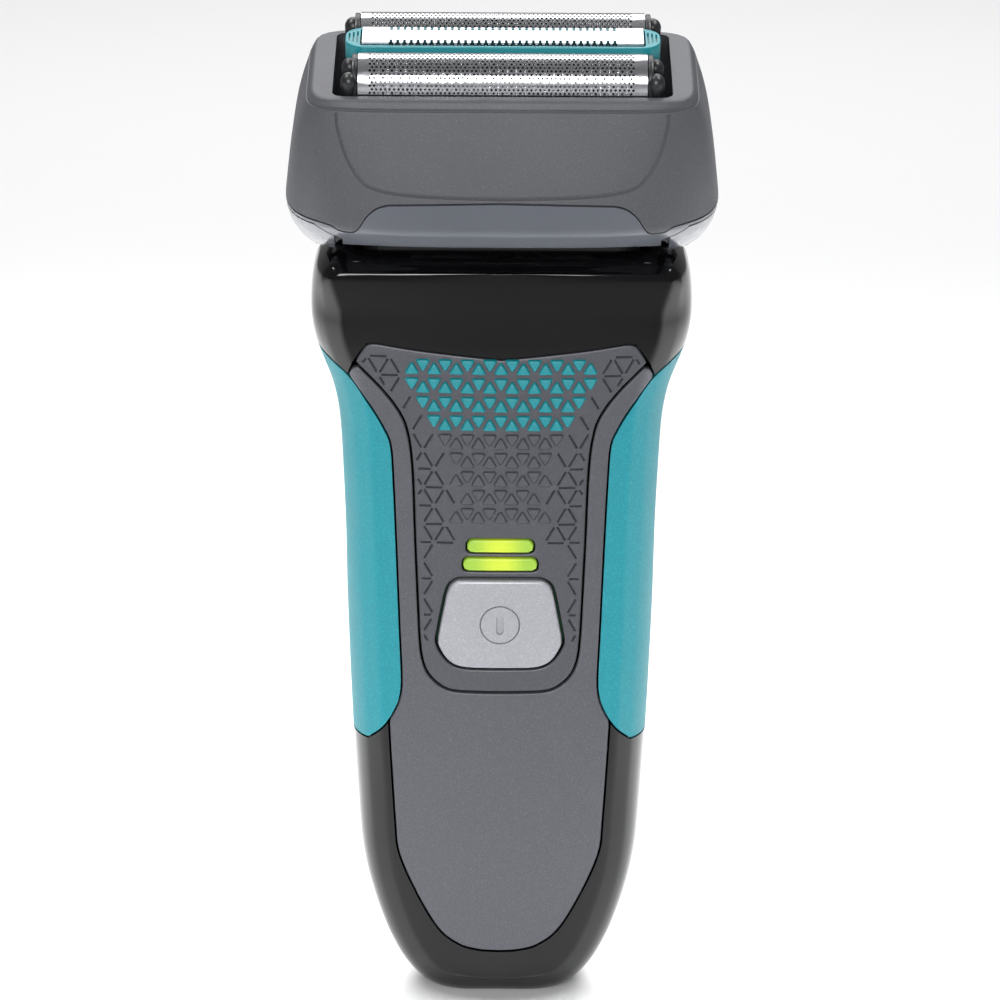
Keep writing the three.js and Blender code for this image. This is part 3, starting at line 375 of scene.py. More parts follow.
def brushed(name, colour, roughness, along="X", line=0.12, depth=0.004):
    # drawn or ground metal: fine lines along one axis, with the roughness following them
    material, tree, shader, place = startMaterial(name, colour, roughness, 1.0)
    stretch = {"X": (0.04, 1, 1), "Y": (1, 0.04, 1), "Z": (1, 1, 0.04)}[along]
    turn = addNode(tree, "ShaderNodeMapping", links={"Vector": place}, Scale=stretch)
    lines = addNode(tree, "ShaderNodeTexNoise", links={"Vector": turn.outputs["Vector"]},
                    Scale=grainSize(line), Detail=2.0)
    rough = addNode(tree, "ShaderNodeMapRange", links={"Value": lines.outputs["Fac"]})
    rough.inputs["To Min"].default_value = roughness * 0.7
    rough.inputs["To Max"].default_value = roughness * 1.35
    tree.links.new(rough.outputs["Result"], shader.inputs["Roughness"])
    shade = addNode(tree, "ShaderNodeMix", {"data_type": "RGBA"}, {"Factor": lines.outputs["Fac"]})
    shade.inputs["A"].default_value = hexColour(colour)
    shade.inputs["B"].default_value = [min(1, c * 0.82) for c in hexColour(colour)[:3]] + [1]
    tree.links.new(shade.outputs["Result"], shader.inputs["Base Color"])
    bump = addNode(tree, "ShaderNodeBump", links={"Height": lines.outputs["Fac"]}, Distance=depth * mm,
                   Strength=0.4)
    tree.links.new(bump.outputs["Normal"], shader.inputs["Normal"])
    return material


# ABS from a polished tool: a deep gloss with a faint waviness, which gives the long clean highlights
glossBlackAbs = moulded("moulded gloss black ABS", "#08080a", "#0b0b0d", 0.08, 0.5, 0.0006, 0.03, 0.0, 0.05)
glossBlackAbs.node_tree.nodes["Principled BSDF"].inputs["IOR"].default_value = 1.42
# ABS with a metallic satin lacquer: fine flecks under a soft sheen
satinGreyAbs = flecked("satin grey lacquered ABS", "#54555b", "#676970", "#4f5056", 0.36, 0.1, 0.14, 0.002,
                       0.25)
# the same lacquer over the textured panel
insertGreyAbs = flecked("satin dark grey lacquered ABS", "#4d4e54", "#606269", "#47484d", 0.4, 0.1, 0.12,
                        0.002, 0.25)
# thermoplastic rubber with mica: soft sheen, bright flecks
tealRubber = flecked("teal thermoplastic rubber", "#008591", "#1e9ca5", "#007c88", 0.52, 0.13, 0.16, 0.002)
# ABS moulded through in teal: satin
tealAbs = moulded("moulded teal ABS", "#078089", "#067780", 0.36, 0.14, 0.004, 0.1)
tealStud = moulded("moulded bright teal ABS", "#0d858e", "#0b7c85", 0.42, 0.14, 0.004, 0.08)
# gloss moulded grey of the head's lower band
glossGreyAbs = moulded("moulded gloss grey ABS", "#5f6269", "#5a5d64", 0.14, 0.4, 0.0008, 0.05, 0.0, 0.04)
# spark-eroded grey ABS: a fine dead-matte grain
matteGreyAbs = flecked("spark eroded matte grey ABS", "#48494e", "#55575d", "#444549", 0.52, 0.14, 0.1, 0.003)
# silver lacquer with a coarse flake
silverLacquer = flecked("silver flake lacquer on ABS", "#a2a2a8", "#b4b4ba", "#98989e", 0.42, 0.12, 0.2,
                        0.002, 0.45)
# black polyamide of the mechanism: moulded, a little oily
blackPolyamide = moulded("moulded black polyamide", "#1a1b1d", "#222325", 0.38, 0.25, 0.004, 0.12)
# white acetal of the drive parts
whiteAcetal = moulded("moulded white acetal", "#dcdcd6", "#cfcfc8", 0.42, 0.3, 0.003, 0.08)
# moulded silicone rubber
blackRubber = moulded("black silicone rubber", "#232427", "#1b1c1f", 0.7, 0.2, 0.006, 0.15)
# electroformed nickel foil: almost a mirror
nickelFoil = brushed("electroformed nickel", "#cfd0d4", 0.2, "X", 0.1, 0.0002)
# ground stainless strip of the combs and cutters
stainless = brushed("ground stainless steel", "#d6d8dc", 0.22, "X", 0.12, 0.003)
# drawn spring wire and turned pins
brightSteel = brushed("bright drawn steel", "#c9cbcf", 0.25, "Z", 0.15, 0.002)
# zinc-plated screws
platedSteel = brushed("plated screw steel", "#9c9ea3", 0.32, "Y", 0.2, 0.004)
brass = brushed("gold plated brass", "#c6a558", 0.28, "Z", 0.2, 0.002)
boardLaminate = moulded("solder resist on laminate", "#1d5a3a", "#17492f", 0.4, 0.8, 0.01, 0.2)
cellSleeve = moulded("shrink sleeve", "#2f6b98", "#2a6088", 0.35, 0.6, 0.01, 0.08)


def lightPipeMaterial(name, middle, edge):
    # a frosted light pipe lit from behind: brightest over the diode, fading to its ends
    material, tree, shader, place = startMaterial(name, middle, 0.35)
    barHalf = 6
    shift = addNode(tree, "ShaderNodeMapping", links={"Vector": place}, Scale=(1 / (barHalf * mm), 0, 0))
    length = addNode(tree, "ShaderNodeVectorMath", {"operation": "LENGTH"}, {"Vector": shift.outputs["Vector"]})
    fall = addNode(tree, "ShaderNodeMapRange", {"interpolation_type": "SMOOTHSTEP"},
                   {"Value": length.outputs["Value"]})
    fall.inputs["From Min"].default_value = 0.1
    fall.inputs["From Max"].default_value = 0.75
    frost = addNode(tree, "ShaderNodeTexNoise", links={"Vector": place}, Scale=grainSize(0.25), Detail=2.0)
    blend = addNode(tree, "ShaderNodeMix", {"data_type": "RGBA"}, {"Factor": fall.outputs["Result"]})
    blend.inputs["A"].default_value = hexColour(middle)
    blend.inputs["B"].default_value = hexColour(edge)
    grain = addNode(tree, "ShaderNodeMix", {"data_type": "RGBA", "blend_type": "OVERLAY"},
                    {"A": blend.outputs["Result"], "B": frost.outputs["Fac"]}, Factor=0.12)
    tree.links.new(grain.outputs["Result"], shader.inputs["Base Color"])
    tree.links.new(grain.outputs["Result"], shader.inputs["Emission Color"])
    shader.inputs["Emission Strength"].default_value = 0.14
    return material


limeLight = lightPipeMaterial("lit light pipe", "#bccf35", "#8fb53a")
print("materials made")

# handle: one fine loft that every skin piece is cut from

handle = {
    "outline": [(0, 122.4), (12, 122.4), (23.6, 122.3), (27.2, 121.1), (28.8, 118.4), (29.3, 112.5),
                (28.8, 108.2), (27.6, 104.6), (26.2, 101), (25.3, 97.3), (24.8, 93), (24.4, 85), (24.1, 77),
                (23.9, 66), (23.5, 54), (23.05, 43.6), (22.5, 34), (22, 26.5), (21.4, 22), (20.5, 17.8),
                (19, 12.8), (17.2, 8.2), (14.7, 3.8), (11.2, 0.4), (6.5, -1.1), (0, -1.2)],
    "front": [(0, 10.4), (10, 11.7), (25, 13), (45, 14), (70, 14.6), (95, 14.6), (118, 14.1)],
    "rear": [(0, 10.2), (10, 12.2), (30, 14.2), (60, 15.3), (90, 15.2), (118, 13.9)],
    "topZ": 122.4, "seam": 2, "gap": 0.3, "skin": 1.5, "wall": 3.4,
    "creaseOuter": 2.5, "creaseInner": 4.9, "creaseStep": 2.2,
    "crownFront": 1.3, "crownRear": 2.4, "creaseRound": 0.6, "stations": 150,
}
gap = handle["gap"]
far = 80


def alongTable(table, z):
    zs, values = zip(*table)
    steps = [z + s * 8 for s in (-1, -0.5, 0, 0.5, 1)]
    return float(np.mean(np.interp(steps, zs, values)))


def outlineStations(count):
    # points and outward normals at equal steps along the silhouette
    pts = [np.array(p, float) for p in handle["outline"]]
    fine = []
    for i in range(len(pts) - 1):
        p0 = pts[max(0, i - 1)]
        p3 = pts[min(len(pts) - 1, i + 2)]
        fine += [catmull(p0, pts[i], pts[i + 1], p3, k / 40) for k in range(40)]
    fine = np.array(fine + [pts[-1]])
    lengths = np.concatenate([[0], np.cumsum(np.linalg.norm(np.diff(fine, axis=0), axis=1))])
    marks = np.linspace(0, lengths[-1], count + 1)
    at = np.stack([np.interp(marks, lengths, fine[:, k]) for k in (0, 1)], 1)
    further = np.minimum(marks + 0.05, lengths[-1])
    ahead = np.stack([np.interp(further, lengths, fine[:, k]) for k in (0, 1)], 1)
    behind = np.stack([np.interp(np.maximum(marks - 0.05, 0), lengths, fine[:, k]) for k in (0, 1)], 1)
    tangent = ahead - behind
    tangent /= np.linalg.norm(tangent, axis=1)[:, None]
    return at, np.stack([-tangent[:, 1], tangent[:, 0]], 1)


def roundCorner(points, corner, radius, steps=4):
    # the corner of a section turned into a short curve
    here, before, after = (np.array(points[k]) for k in (corner, corner - 1, corner + 1))
    a = here + (before - here) * min(0.45, radius / max(1e-6, np.linalg.norm(before - here)))
    b = here + (after - here) * min(0.45, radius / max(1e-6, np.linalg.norm(after - here)))
    handles = (Vector(end + (here - end) * 0.6) for end in (a, b))
    curve = interpolate_bezier(Vector(a), *handles, Vector(b), steps)
    return [tuple(p) for p in curve]


def handleLoft(name, inset=0.0, creaseShare=1.0, stations=None, fine=True):
    # the whole handle with every face moved inwards by the inset
    points, normals = outlineStations(stations or handle["stations"])
    last = len(points) - 1
    rows = []
    for i, (p, n) in enumerate(zip(points, normals)):
        end = i in (0, last)
        normal = np.array([0, 1.0 if i == 0 else -1.0]) if end else n
        rise = np.clip((p[1] - (handle["topZ"] - 10)) / 9, 0, 1)
        scale = creaseShare * (1 - 0.5 * rise * rise * (3 - 2 * rise))

        def at(depth, y):
            x = 0.0 if end else max(0.0, p[0] - normal[0] * (depth + inset))
            return (x, y, p[1] - normal[1] * (depth + inset))

        row = []
        for word, side in (("Rear", 1), ("Front", -1)):
            table, crown = handle[word.lower()], handle["crown" + word]
            inner = at(handle["creaseInner"] * scale, 0)
            lift = crown * min(1, inner[0] / 8)
            face = alongTable(table, p[1]) - inset - crown
            outerFace = face - handle["creaseStep"] * scale
            crownShares = np.linspace(0, 1, 13) if fine else (0, 0.45, 0.8, 1)
            sideShares = np.linspace(1, 0, 15)[:-1] if fine else (1, 0.55)
            half = [(inner[0] * s, side * (face + lift * (1 - s * s)), inner[2]) for s in crownShares]
            turn = len(half) - 1
            half += [at(handle["creaseOuter"] * scale * s ** 3, side * outerFace * s) for s in sideShares]
            if fine:
                first = roundCorner(half, turn, handle["creaseRound"])
                second = roundCorner(half, turn + 1, handle["creaseRound"])
                half = half[:turn] + first + second + half[turn + 2:]
            row += half + [at(0, 0)] if side > 0 else half[::-1]
        rows.append(row)
    width = len(rows[0])
    flat = [p for row in rows for p in row]
    count = len(flat)
    flat += [(-x, y, z) for x, y, z in flat]
    faces = []
    for i in range(len(rows) - 1):
        for j in range(width - 1):
            a, b, c, d = i * width + j, i * width + j + 1, (i + 1) * width + j, (i + 1) * width + j + 1
            faces.append((a, b, d, c))
            faces.append((a + count, c + count, d + count, b + count))
    made = newMesh(name, flat, faces)
    select(made)
    bpy.ops.object.mode_set(mode="EDIT")
    bpy.ops.mesh.select_all(action="SELECT")
    bpy.ops.mesh.remove_doubles(threshold=0.01 * mm)
    bpy.ops.mesh.dissolve_degenerate(threshold=0.005 * mm)
    bpy.ops.mesh.select_all(action="SELECT")
    bpy.ops.mesh.normals_make_consistent(inside=False)
    bpy.ops.object.mode_set(mode="OBJECT")
    return made


class Skin:
    # a smooth surface to take heights and normals from
    def __init__(self, piece):
        mesh = piece.data
        mesh.calc_loop_triangles()
        self.points = [v.co.copy() for v in mesh.vertices]
        self.normals = [v.normal.copy() for v in mesh.vertices]
        self.triangles = [tuple(t.vertices) for t in mesh.loop_triangles]
        self.tree = BVHTree.FromPolygons(self.points, self.triangles)

    def normalAt(self, point):
        spot, face, index, away = self.tree.find_nearest(point)
        a, b, c = self.triangles[index]
        pa, pb, pc = self.points[a], self.points[b], self.points[c]
        whole = (pb - pa).cross(pc - pa)
        area = max(1e-18, whole.length_squared)
        wa = (pb - spot).cross(pc - spot).dot(whole) / area
        wb = (pc - spot).cross(pa - spot).dot(whole) / area
        normal = self.normals[a] * wa + self.normals[b] * wb + self.normals[c] * (1 - wa - wb)
        return normal.normalized(), away

    def frontDepth(self, x, z):
        # how far the front face stands in front of the handle's middle plane, in millimetres
        hit = self.tree.ray_cast(Vector((x * mm, -1, z * mm)), Vector((0, 1, 0)))[0]
        return midY - hit.y / mm if hit else None


def takeNormals(piece, skin, reach=0.08, angle=35):
    # the faces that lie on the skin get its smooth normals, the others keep their own
    smooth(piece, angle)
    mesh = piece.data
    wanted = [Vector(n.vector) for n in mesh.corner_normals]
    cache = {}
    for face in mesh.polygons:
        normal, away = skin.normalAt(face.center)
        if away > reach * mm or normal.dot(face.normal) < 0.86:
            continue
        for k in face.loop_indices:
            v = mesh.loops[k].vertex_index
            if v not in cache:
                cache[v] = skin.normalAt(mesh.vertices[v].co)
            got, off = cache[v]
            if off < reach * mm and got.dot(face.normal) > 0.7:
                wanted[k] = got
    mesh.normals_split_custom_set([tuple(n) for n in wanted])
    return piece


outer = handleLoft("outer")
skin = Skin(outer)
skinInner = handleLoft("skin inner", handle["skin"])
pocketFloor = handleLoft("pocket floor", handle["skin"] + gap)
cavity = handleLoft("cavity", handle["wall"], 0.4, 22, False)
pocketShell = boolean(handleLoft("pocket shell", -gap * 4, stations=60), "DIFFERENCE", pocketFloor)
skinShell = boolean(copyOf(outer, "skin shell"), "DIFFERENCE", skinInner, keep=True)
print("handle lofted:", len(outer.data.polygons), "faces")

# outlines of the front

gripSide = [(23.4, 103.5), (20, 99), (17.8, 95.3), (16.8, 92.6), (16.4, 86.5), (16, 76.8), (15.5, 63),
            (15.2, 55.2), (15.4, 52.3), (16, 50.3), (17.2, 48)]
gripLine = smoothLine([(28.4, 106.9), *gripSide, (18.7, 46.1), (20.4, 44.4)])
gripOutline = [(45, 115.5), *gripLine, (45, 41.5)]
fasciaTop = smoothLine([(0, 106.6), (12.3, 107.9), (19.2, 108.9), (20.6, 108.7), (22.6, 105.7)], (2, 3))
fasciaSide = smoothLine([(22.6, 105.7), *gripSide, (17.1, 45.5), (16.3, 31.3), (15.7, 25.6), (13.1, 19),
                         (9.6, 12.6), (6.3, 9.8), (3.2, 8.9), (0, 8.7)], (1, 11))
insertSide = smoothLine([(22.2, 105.7), (18, 101.4), (15.4, 97.9), (14.2, 94.7), (13.5, 89), (13.1, 78),
                         (12.7, 68), (12.4, 61.6), (12, 58.3), (11, 55.8), (9, 53.9), (7, 53.2),
                         (3.5, 53.03), (0, 53)])
buttonHalf = smoothLine([(0, 71.5), (5.6, 71.45), (6.8, 71.2), (7.9, 70.1), (8.7, 66.6), (9.5, 62.2),
                         (9.5, 60.9), (8.7, 59.3), (7.7, 58.1), (6.3, 57.4), (4.4, 57.15), (0, 57.1)],
                        spacing=0.5)
fasciaOutline = mirrored([*fasciaTop[:-1], *fasciaSide])
insertOutline = mirrored([*fasciaTop[:-1], (22.3, 106.1), *insertSide])
buttonOutline = mirrored(buttonHalf)
lightBars = {"upper": {"half": 5.1, "z": 77.1}, "lower": {"half": 5.7, "z": 74.2}}


def lightOutline(bar, extra):
    bow = 0.009  # the bars hang a little at both ends
    straight = roundedBox(bar["half"] + extra, 1 + extra, 0.9, 5, 0, bar["z"])
    return [(x, z - bow * x * x) for x, z in straight]


# moulded plates of the front, with rounded rims and raised or sunk figures


def plate(name, outline, holes=(), figures=(), proud=0.0, thick=1.2, rim=0.22, step=0.9):
    # an outline laid on the front face; each figure is (loop, height, closed), with heights above the plate
    offsets = [(0.0, rim), (rim * 0.3, rim * 0.3), (rim * 0.65, rim * 0.07), (rim * 1.1, 0.0)]
    points, heights, edges = [], [], []

    def addLoop(loop, loopHeights, closed=True):
        first = len(points)
        points.extend(loop)
        heights.extend(loopHeights)
        edges.extend((first + i, first + i + 1) for i in range(len(loop) - 1))
        if closed:
            edges.append((first + len(loop) - 1, first))

    border = evenly(outline, 0.7)
    for away, drop in offsets:
        ring = grow(border, -away)
        addLoop(ring, [-drop] * len(ring))
    holeRings = [evenly(hole, 0.5) for hole in holes]
    for hole in holeRings:
        for away, drop in offsets:
            ring = grow(hole, away)
            addLoop(ring, [-drop] * len(ring))
    for loop, loopHeights, closed in figures:
        addLoop(loop, loopHeights, closed)
    ring = np.array(border)
    (x0, z0), (x1, z1) = ring.min(0), ring.max(0)
    rows = []
    for j, z in enumerate(np.arange(z0, z1, step * 0.87)):
        rows += [(x + (j % 2) * step / 2, z) for x in np.arange(-math.ceil(-x0 / step) * step, x1, step)]
    grid = np.array(rows)
    grid = grid[insideMask(grid, border)]
    keep = distanceTo(grid, border) > rim * 1.1 + step * 0.35
    for hole in holeRings:
        keep &= ~insideMask(grid, hole) & (distanceTo(grid, hole) > rim * 1.1 + step * 0.35)
    for loop, _, closed in figures:
        ahead = np.array(loop)
        near = (np.abs(grid - ahead.mean(0)) < np.ptp(ahead, axis=0) / 2 + step).all(1) & keep
        if near.any():
            some = grid[near]
            bad = distanceTo(some, loop, closed) < step * 0.3
            if closed:
                bad |= insideMask(some, loop)
            keep[np.where(near)[0][bad]] = False
    for p in grid[keep]:
        points.append(tuple(p))
        heights.append(0.0)
    out = delaunay_2d_cdt([Vector(p) for p in points], edges, [], 0, 1e-5)
    spots, triangles, origins = out[0], out[2], out[3]
    flat = np.array([tuple(p) for p in spots])
    level = []
    for spot, origin in zip(flat, origins):
        if origin:
            level.append(heights[origin[0]])
        else:
            near = int(np.argmin(np.hypot(*(np.array(points) - spot).T)))
            level.append(heights[near])
    centres = np.array([flat[list(t)].mean(0) for t in triangles])
    good = insideMask(centres, border)
    for hole in holeRings:
        good &= ~insideMask(centres, hole)
    # the front follows the handle's face
    faces, used, vertices = [], {}, []

    def vertex(k):
        if k not in used:
            depth = skin.frontDepth(*flat[k])
            if depth is None:
                depth = skin.frontDepth(flat[k][0] * 0.99, flat[k][1]) or 8
            used[k] = len(vertices)
            vertices.append((flat[k][0], -(depth + proud + level[k]), flat[k][1]))
            vertices.append((flat[k][0], -(depth - thick), flat[k][1]))
        return used[k]

    sides = {}
    for t, ok in zip(triangles, good):
        if not ok:
            continue
        a, b, c = (vertex(k) for k in t)
        faces.append((a, b, c))
        faces.append((c + 1, b + 1, a + 1))
        for edge in ((a, b), (b, c), (c, a)):
            sides[edge] = True
    for a, b in sides:
        if (b, a) not in sides:
            faces.append((b, a, a + 1, b + 1))
    made = newMesh(name, vertices, faces)
    fixNormals(made)
    return made


def capsule(half, radius, x, z, steps=8):
    # a closed upright slot
    made = []
    for end in (0, 1):
        middle = z + (half if end == 0 else -half)
        turns = np.linspace(end * math.pi, (end + 1) * math.pi, steps)
        made += [(x + radius * math.cos(a), middle + radius * math.sin(a)) for a in turns]
    return made


powerButton = {"proud": 0.35, "rim": 0.45, "markZ": 64.3, "ring": 3.02, "line": 0.13, "sunk": 0.24,
               "slotHalf": 1.05, "slotRadius": 0.55}


def makeButton(b):
    figures = []
    for radius, height in ((b["ring"] + b["line"], 0), (b["ring"], -b["sunk"]), (b["ring"] - b["line"], 0)):
        loop = circle(0, b["markZ"], radius, 72)
        figures.append((loop, [height] * len(loop), True))
    for extra, height in ((0.0, 0), (-0.07, -b["sunk"] * 1.6), (-0.3, -b["sunk"] * 1.6)):
        loop = capsule(b["slotHalf"], b["slotRadius"] + extra, 0, b["markZ"])
        figures.append((loop, [height] * len(loop), True))
    made = plate("button", buttonOutline, (), figures, b["proud"], 1.6, b["rim"], 0.6)
    return smooth(made, 50)


button = makeButton(powerButton)
stem = box(-1.6, 1.6, -12.6, -11.0, powerButton["markZ"] - 1.6, powerButton["markZ"] + 1.6)
button = joined("button", [button, softEdges(stem, 0.2)])
finishPiece(button, "power_button_cap", silverLacquer, "button", ["power_button"])

for part, bar in lightBars.items():
    lens = plate("lens", lightOutline(bar, 0), (), (), 0.0, 1.6, 0.28, 0.5)
    finishPiece(smooth(lens, 50), "charge_light_lens_" + part, limeLight, "handle",
                ["charge_light_" + part])
print("button and lights made")

# textured panel

lattice = {"pitch": 3.4, "topZ": 106.86, "studSide": 1.95, "studHigh": 0.42, "studSlope": 0.3, "tealRows": 4,
           "strokeWidth": 0.4, "strokeDeep": 0.3, "strokeShort": 0.42}
lattice["row"] = lattice["pitch"] * math.sqrt(3) / 2
studReach = [14.4, 14.4, 12.9, 11.2, 9.4, 7.6, 7.6, 6.4, 7.6, -1]  # half width that each row of studs fills


def triangle(x, z, side, up):
    # an equilateral triangle about its own middle, with slightly cut corners
    turn = math.pi / 2 if up else -math.pi / 2
    radius = side / math.sqrt(3)
    made = []
    for k in range(3):
        a = turn + k * 2 * math.pi / 3
        for s in (-0.16, 0.16):
            made.append((x + radius * math.cos(a) * 0.9 + s * radius * math.cos(a + math.pi / 2) * 0.9,
                         z + radius * math.sin(a) * 0.9 + s * radius * math.sin(a + math.pi / 2) * 0.9))
    return made


def studPlaces():
    # middle, row and direction of every stud
    made = []
    pitch, row = lattice["pitch"], lattice["row"]
    for r, reach in enumerate(studReach):
        z = lattice["topZ"] - (r + 0.5) * row
        for k in range(-10, 11):
            for up in (True, False):
                x = k * pitch if (r % 2 == 0) == up else (k + 0.5) * pitch
                if abs(x) <= reach:
                    lean = -row / 6 if up else row / 6
                    made.append((x, z + lean, r, up))
    return made


def strokePlaces():
    # the engraved lattice lines along both sides
    made = []
    pitch, row = lattice["pitch"], lattice["row"]
    inner = evenly(grow(insertOutline, -0.75), 0.5)
    keepOut = [evenly(grow(buttonOutline, 1.5), 0.5)] + [lightOutline(b, 1.6) for b in lightBars.values()]
    for j in range(0, 18):
        z = lattice["topZ"] - j * row
        shift = 0.5 * (j % 2)
        for k in range(-9, 10):
            x = (k + shift) * pitch
            for dx, dz in ((pitch, 0), (pitch / 2, -row), (-pitch / 2, -row)):
                a, b = np.array((x, z)), np.array((x + dx, z + dz))
                middle = (a + b) / 2
                r = (lattice["topZ"] - middle[1]) / row
                index = int(r - 1e-6)
                if dz == 0:
                    beside = (int(round(r)) - 1, int(round(r)))
                    around = [studReach[i] for i in beside if 0 <= i < len(studReach)]
                    limit = (max(around) if around else 9.0) + pitch / 2
                else:
                    limit = (studReach[index] if index < len(studReach) else 9.0) + pitch * 0.35
                if abs(middle[0]) < limit or z < 60:
                    continue
                way = (b - a) / np.linalg.norm(b - a)
                a, b = a + way * lattice["strokeShort"], b - way * lattice["strokeShort"]
                samples = np.array([a + (b - a) * t for t in np.linspace(0, 1, 15)])
                ok = insideMask(samples, inner)
                for zone in keepOut:
                    ok &= ~insideMask(samples, zone)
                runs = np.where(ok)[0]
                if len(runs) < 5 or runs[-1] - runs[0] != len(runs) - 1:
                    continue
                made.append((samples[runs[0]], samples[runs[-1]]))
    return made


def makePanel():
    figures, teal = [], []
    for x, z, row, up in studPlaces():
        foot = triangle(x, z, lattice["studSide"] + lattice["studSlope"], up)
        top = triangle(x, z, lattice["studSide"] - lattice["studSlope"], up)
        if row < lattice["tealRows"]:
            teal.append((foot, top, x, z))
        else:
            figures.append((foot, [0.0] * len(foot), True))
            figures.append((top, [lattice["studHigh"] * 0.8] * len(top), True))
    for a, b in strokePlaces():
        way = (b - a) / np.linalg.norm(b - a)
        side = np.array((-way[1], way[0])) * lattice["strokeWidth"] / 2
        loop = [tuple(a - side), tuple(b - side), tuple(b + side), tuple(a + side)]
        figures.append((loop, [0.0] * 4, True))
        figures.append(([tuple(a + way * 0.2), tuple(b - way * 0.2)], [-lattice["strokeDeep"]] * 2, False))
    holes = [grow(buttonOutline, 0.42)] + [lightOutline(b, 0.22) for b in lightBars.values()]
    panel = plate("panel", grow(insertOutline, -gap / 2), holes, figures, -0.25, 1.0, 0.25, 0.8)
    studs = []
    for foot, top, x, z in teal:
        n = len(foot)
        depth = [skin.frontDepth(*p) or 8 for p in foot]
        base = skin.frontDepth(x, z)
        points = [(p[0], -(d - 0.25 - 0.3), p[1]) for p, d in zip(foot, depth)]
        points += [(p[0], -(d - 0.25 - 0.02), p[1]) for p, d in zip(foot, depth)]
        points += [(p[0], -(base - 0.25 + lattice["studHigh"]), p[1]) for p in top]
        rings = [(i + k * n, (i + 1) % n + k * n, (i + 1) % n + (k + 1) * n, i + (k + 1) * n)
                 for k in (0, 1) for i in range(n)]
        studs.append(newMesh("stud", points, [tuple(range(n)), tuple(range(2 * n, 3 * n)), *rings]))
    studs = fixNormals(joined("studs", studs))
    return smooth(panel, 28), softEdges(studs, 0.08, 2, 30)


panel, studs = makePanel()
finishPiece(panel, "texture_panel", insertGreyAbs, "handle", ["texture_insert"])
finishPiece(studs, "texture_studs", tealStud, "handle")
print("textured panel made:", len(panel.data.polygons), "faces")


def makeFascia():
    # a long frame round the panel and down over the lower handle
    inside = grow(insertOutline, gap / 2)
    outside = grow(fasciaOutline, -gap / 2)
    rightIn, rightOut = (sorted((p for p in line if p[0] > 0.2 and p[1] < 105.4), key=lambda p: -p[1])
                         for line in (inside, outside))
    half = rightIn[::-1] + rightOut  # up the panel's side and down the outer side
    whole = [(0.0, 53 - gap / 2), *half, (0.0, min(rightOut[-1][1], 8.85))]
    left = [(-x, z) for x, z in half]
    return plate("fascia", whole + left[::-1], (), (), 0.0, 1.2, 0.2, 1.1)


fascia = smooth(makeFascia(), 40)
finishPiece(fascia, "lower_fascia", satinGreyAbs, "handle", ["front_fascia"])
print("fascia made:", len(fascia.data.polygons), "faces")

# grips and housings


def gripCutter(side, extra):
    outline = grow([(side * x, z) for x, z in gripOutline], extra)
    return prism(outline, -far, 8.5 + extra, "grip cutter")


for side, word in ((-1, "left"), (1, "right")):
    grip = boolean(copyOf(skinShell, "grip"), "INTERSECT", gripCutter(side, -gap / 2))
    takeNormals(grip, skin)
    finishPiece(grip, "grip_sleeve_" + word, tealRubber, "handle", ["grip_" + word])

socketOpening = {"half": 7.5, "halfDeep": 4.7, "high": 8}
deckOpening = {"half": 22.5, "halfDeep": 7.6, "lowZ": handle["topZ"] - 7.4}
screw = {"radius": 2.15, "bore": 2.5, "seat": 1.9, "sunk": 1.4, "high": 1.5, "round": 0.3,
         "crossLong": 1.4, "crossWide": 0.28, "crossDeep": 0.85,
         "places": {"lower_left": (-13, 27), "lower_right": (13, 27), "upper_left": (-20, 107),
                    "upper_right": (20, 107)}}
popup = {"half": 13.7, "lowZ": 83.0, "highZ": 114.0, "floorY": 11.2, "wall": 1.4, "frontY": 11.6, "play": 0.1,
         "seatHalf": 6.8, "seatY": 13.2, "seatLow": 87.2, "seatHigh": 96.8,
         "knobHalf": 6.45, "knobY": 13.55, "knobLow": 87.55, "knobHigh": 96.45, "knobProud": 0.85,
         "knobRound": 0.8, "grooves": 6, "grooveLow": 88.9, "groovePitch": 1.24, "grooveHalf": 4.9,
         "grooveWide": 0.24, "grooveOver": 0.35}


def shellHalf(side):
    seam = handle["seam"] + side * gap / 2
    made = boolean(copyOf(outer, "shell"), "DIFFERENCE", cavity, keep=True)
    if side > 0:
        made = boolean(made, "INTERSECT", box(-far, far, seam, far, 0, 2 * far))
    else:
        made = boolean(made, "INTERSECT", box(-far, far, -far, seam, 0, 2 * far))
    s, d = socketOpening, deckOpening
    made = boolean(made, "DIFFERENCE",
                   box(-s["half"], s["half"], -s["halfDeep"], s["halfDeep"], -far, s["high"]),
                   box(-d["half"], d["half"], -d["halfDeep"], d["halfDeep"], d["lowZ"], 3 * far))
    for way in (-1, 1):
        gripPocket = boolean(copyOf(pocketShell, "pocket"), "INTERSECT", gripCutter(way, gap / 2))
        made = boolean(made, "DIFFERENCE", gripPocket)
    return made


def cylinderY(x, z, radius, y0, y1, name="round", sides=32):
    bpy.ops.object.select_all(action="DESELECT")
    bpy.ops.mesh.primitive_cylinder_add(vertices=sides, radius=radius * mm, depth=(y1 - y0) * mm,
                                        location=(x * mm, ((y0 + y1) / 2 + midY) * mm, z * mm),
                                        rotation=(math.pi / 2, 0, 0))
    made = bpy.context.object
    made.name = name
    bpy.ops.object.transform_apply(location=True, rotation=True, scale=True)
    return made


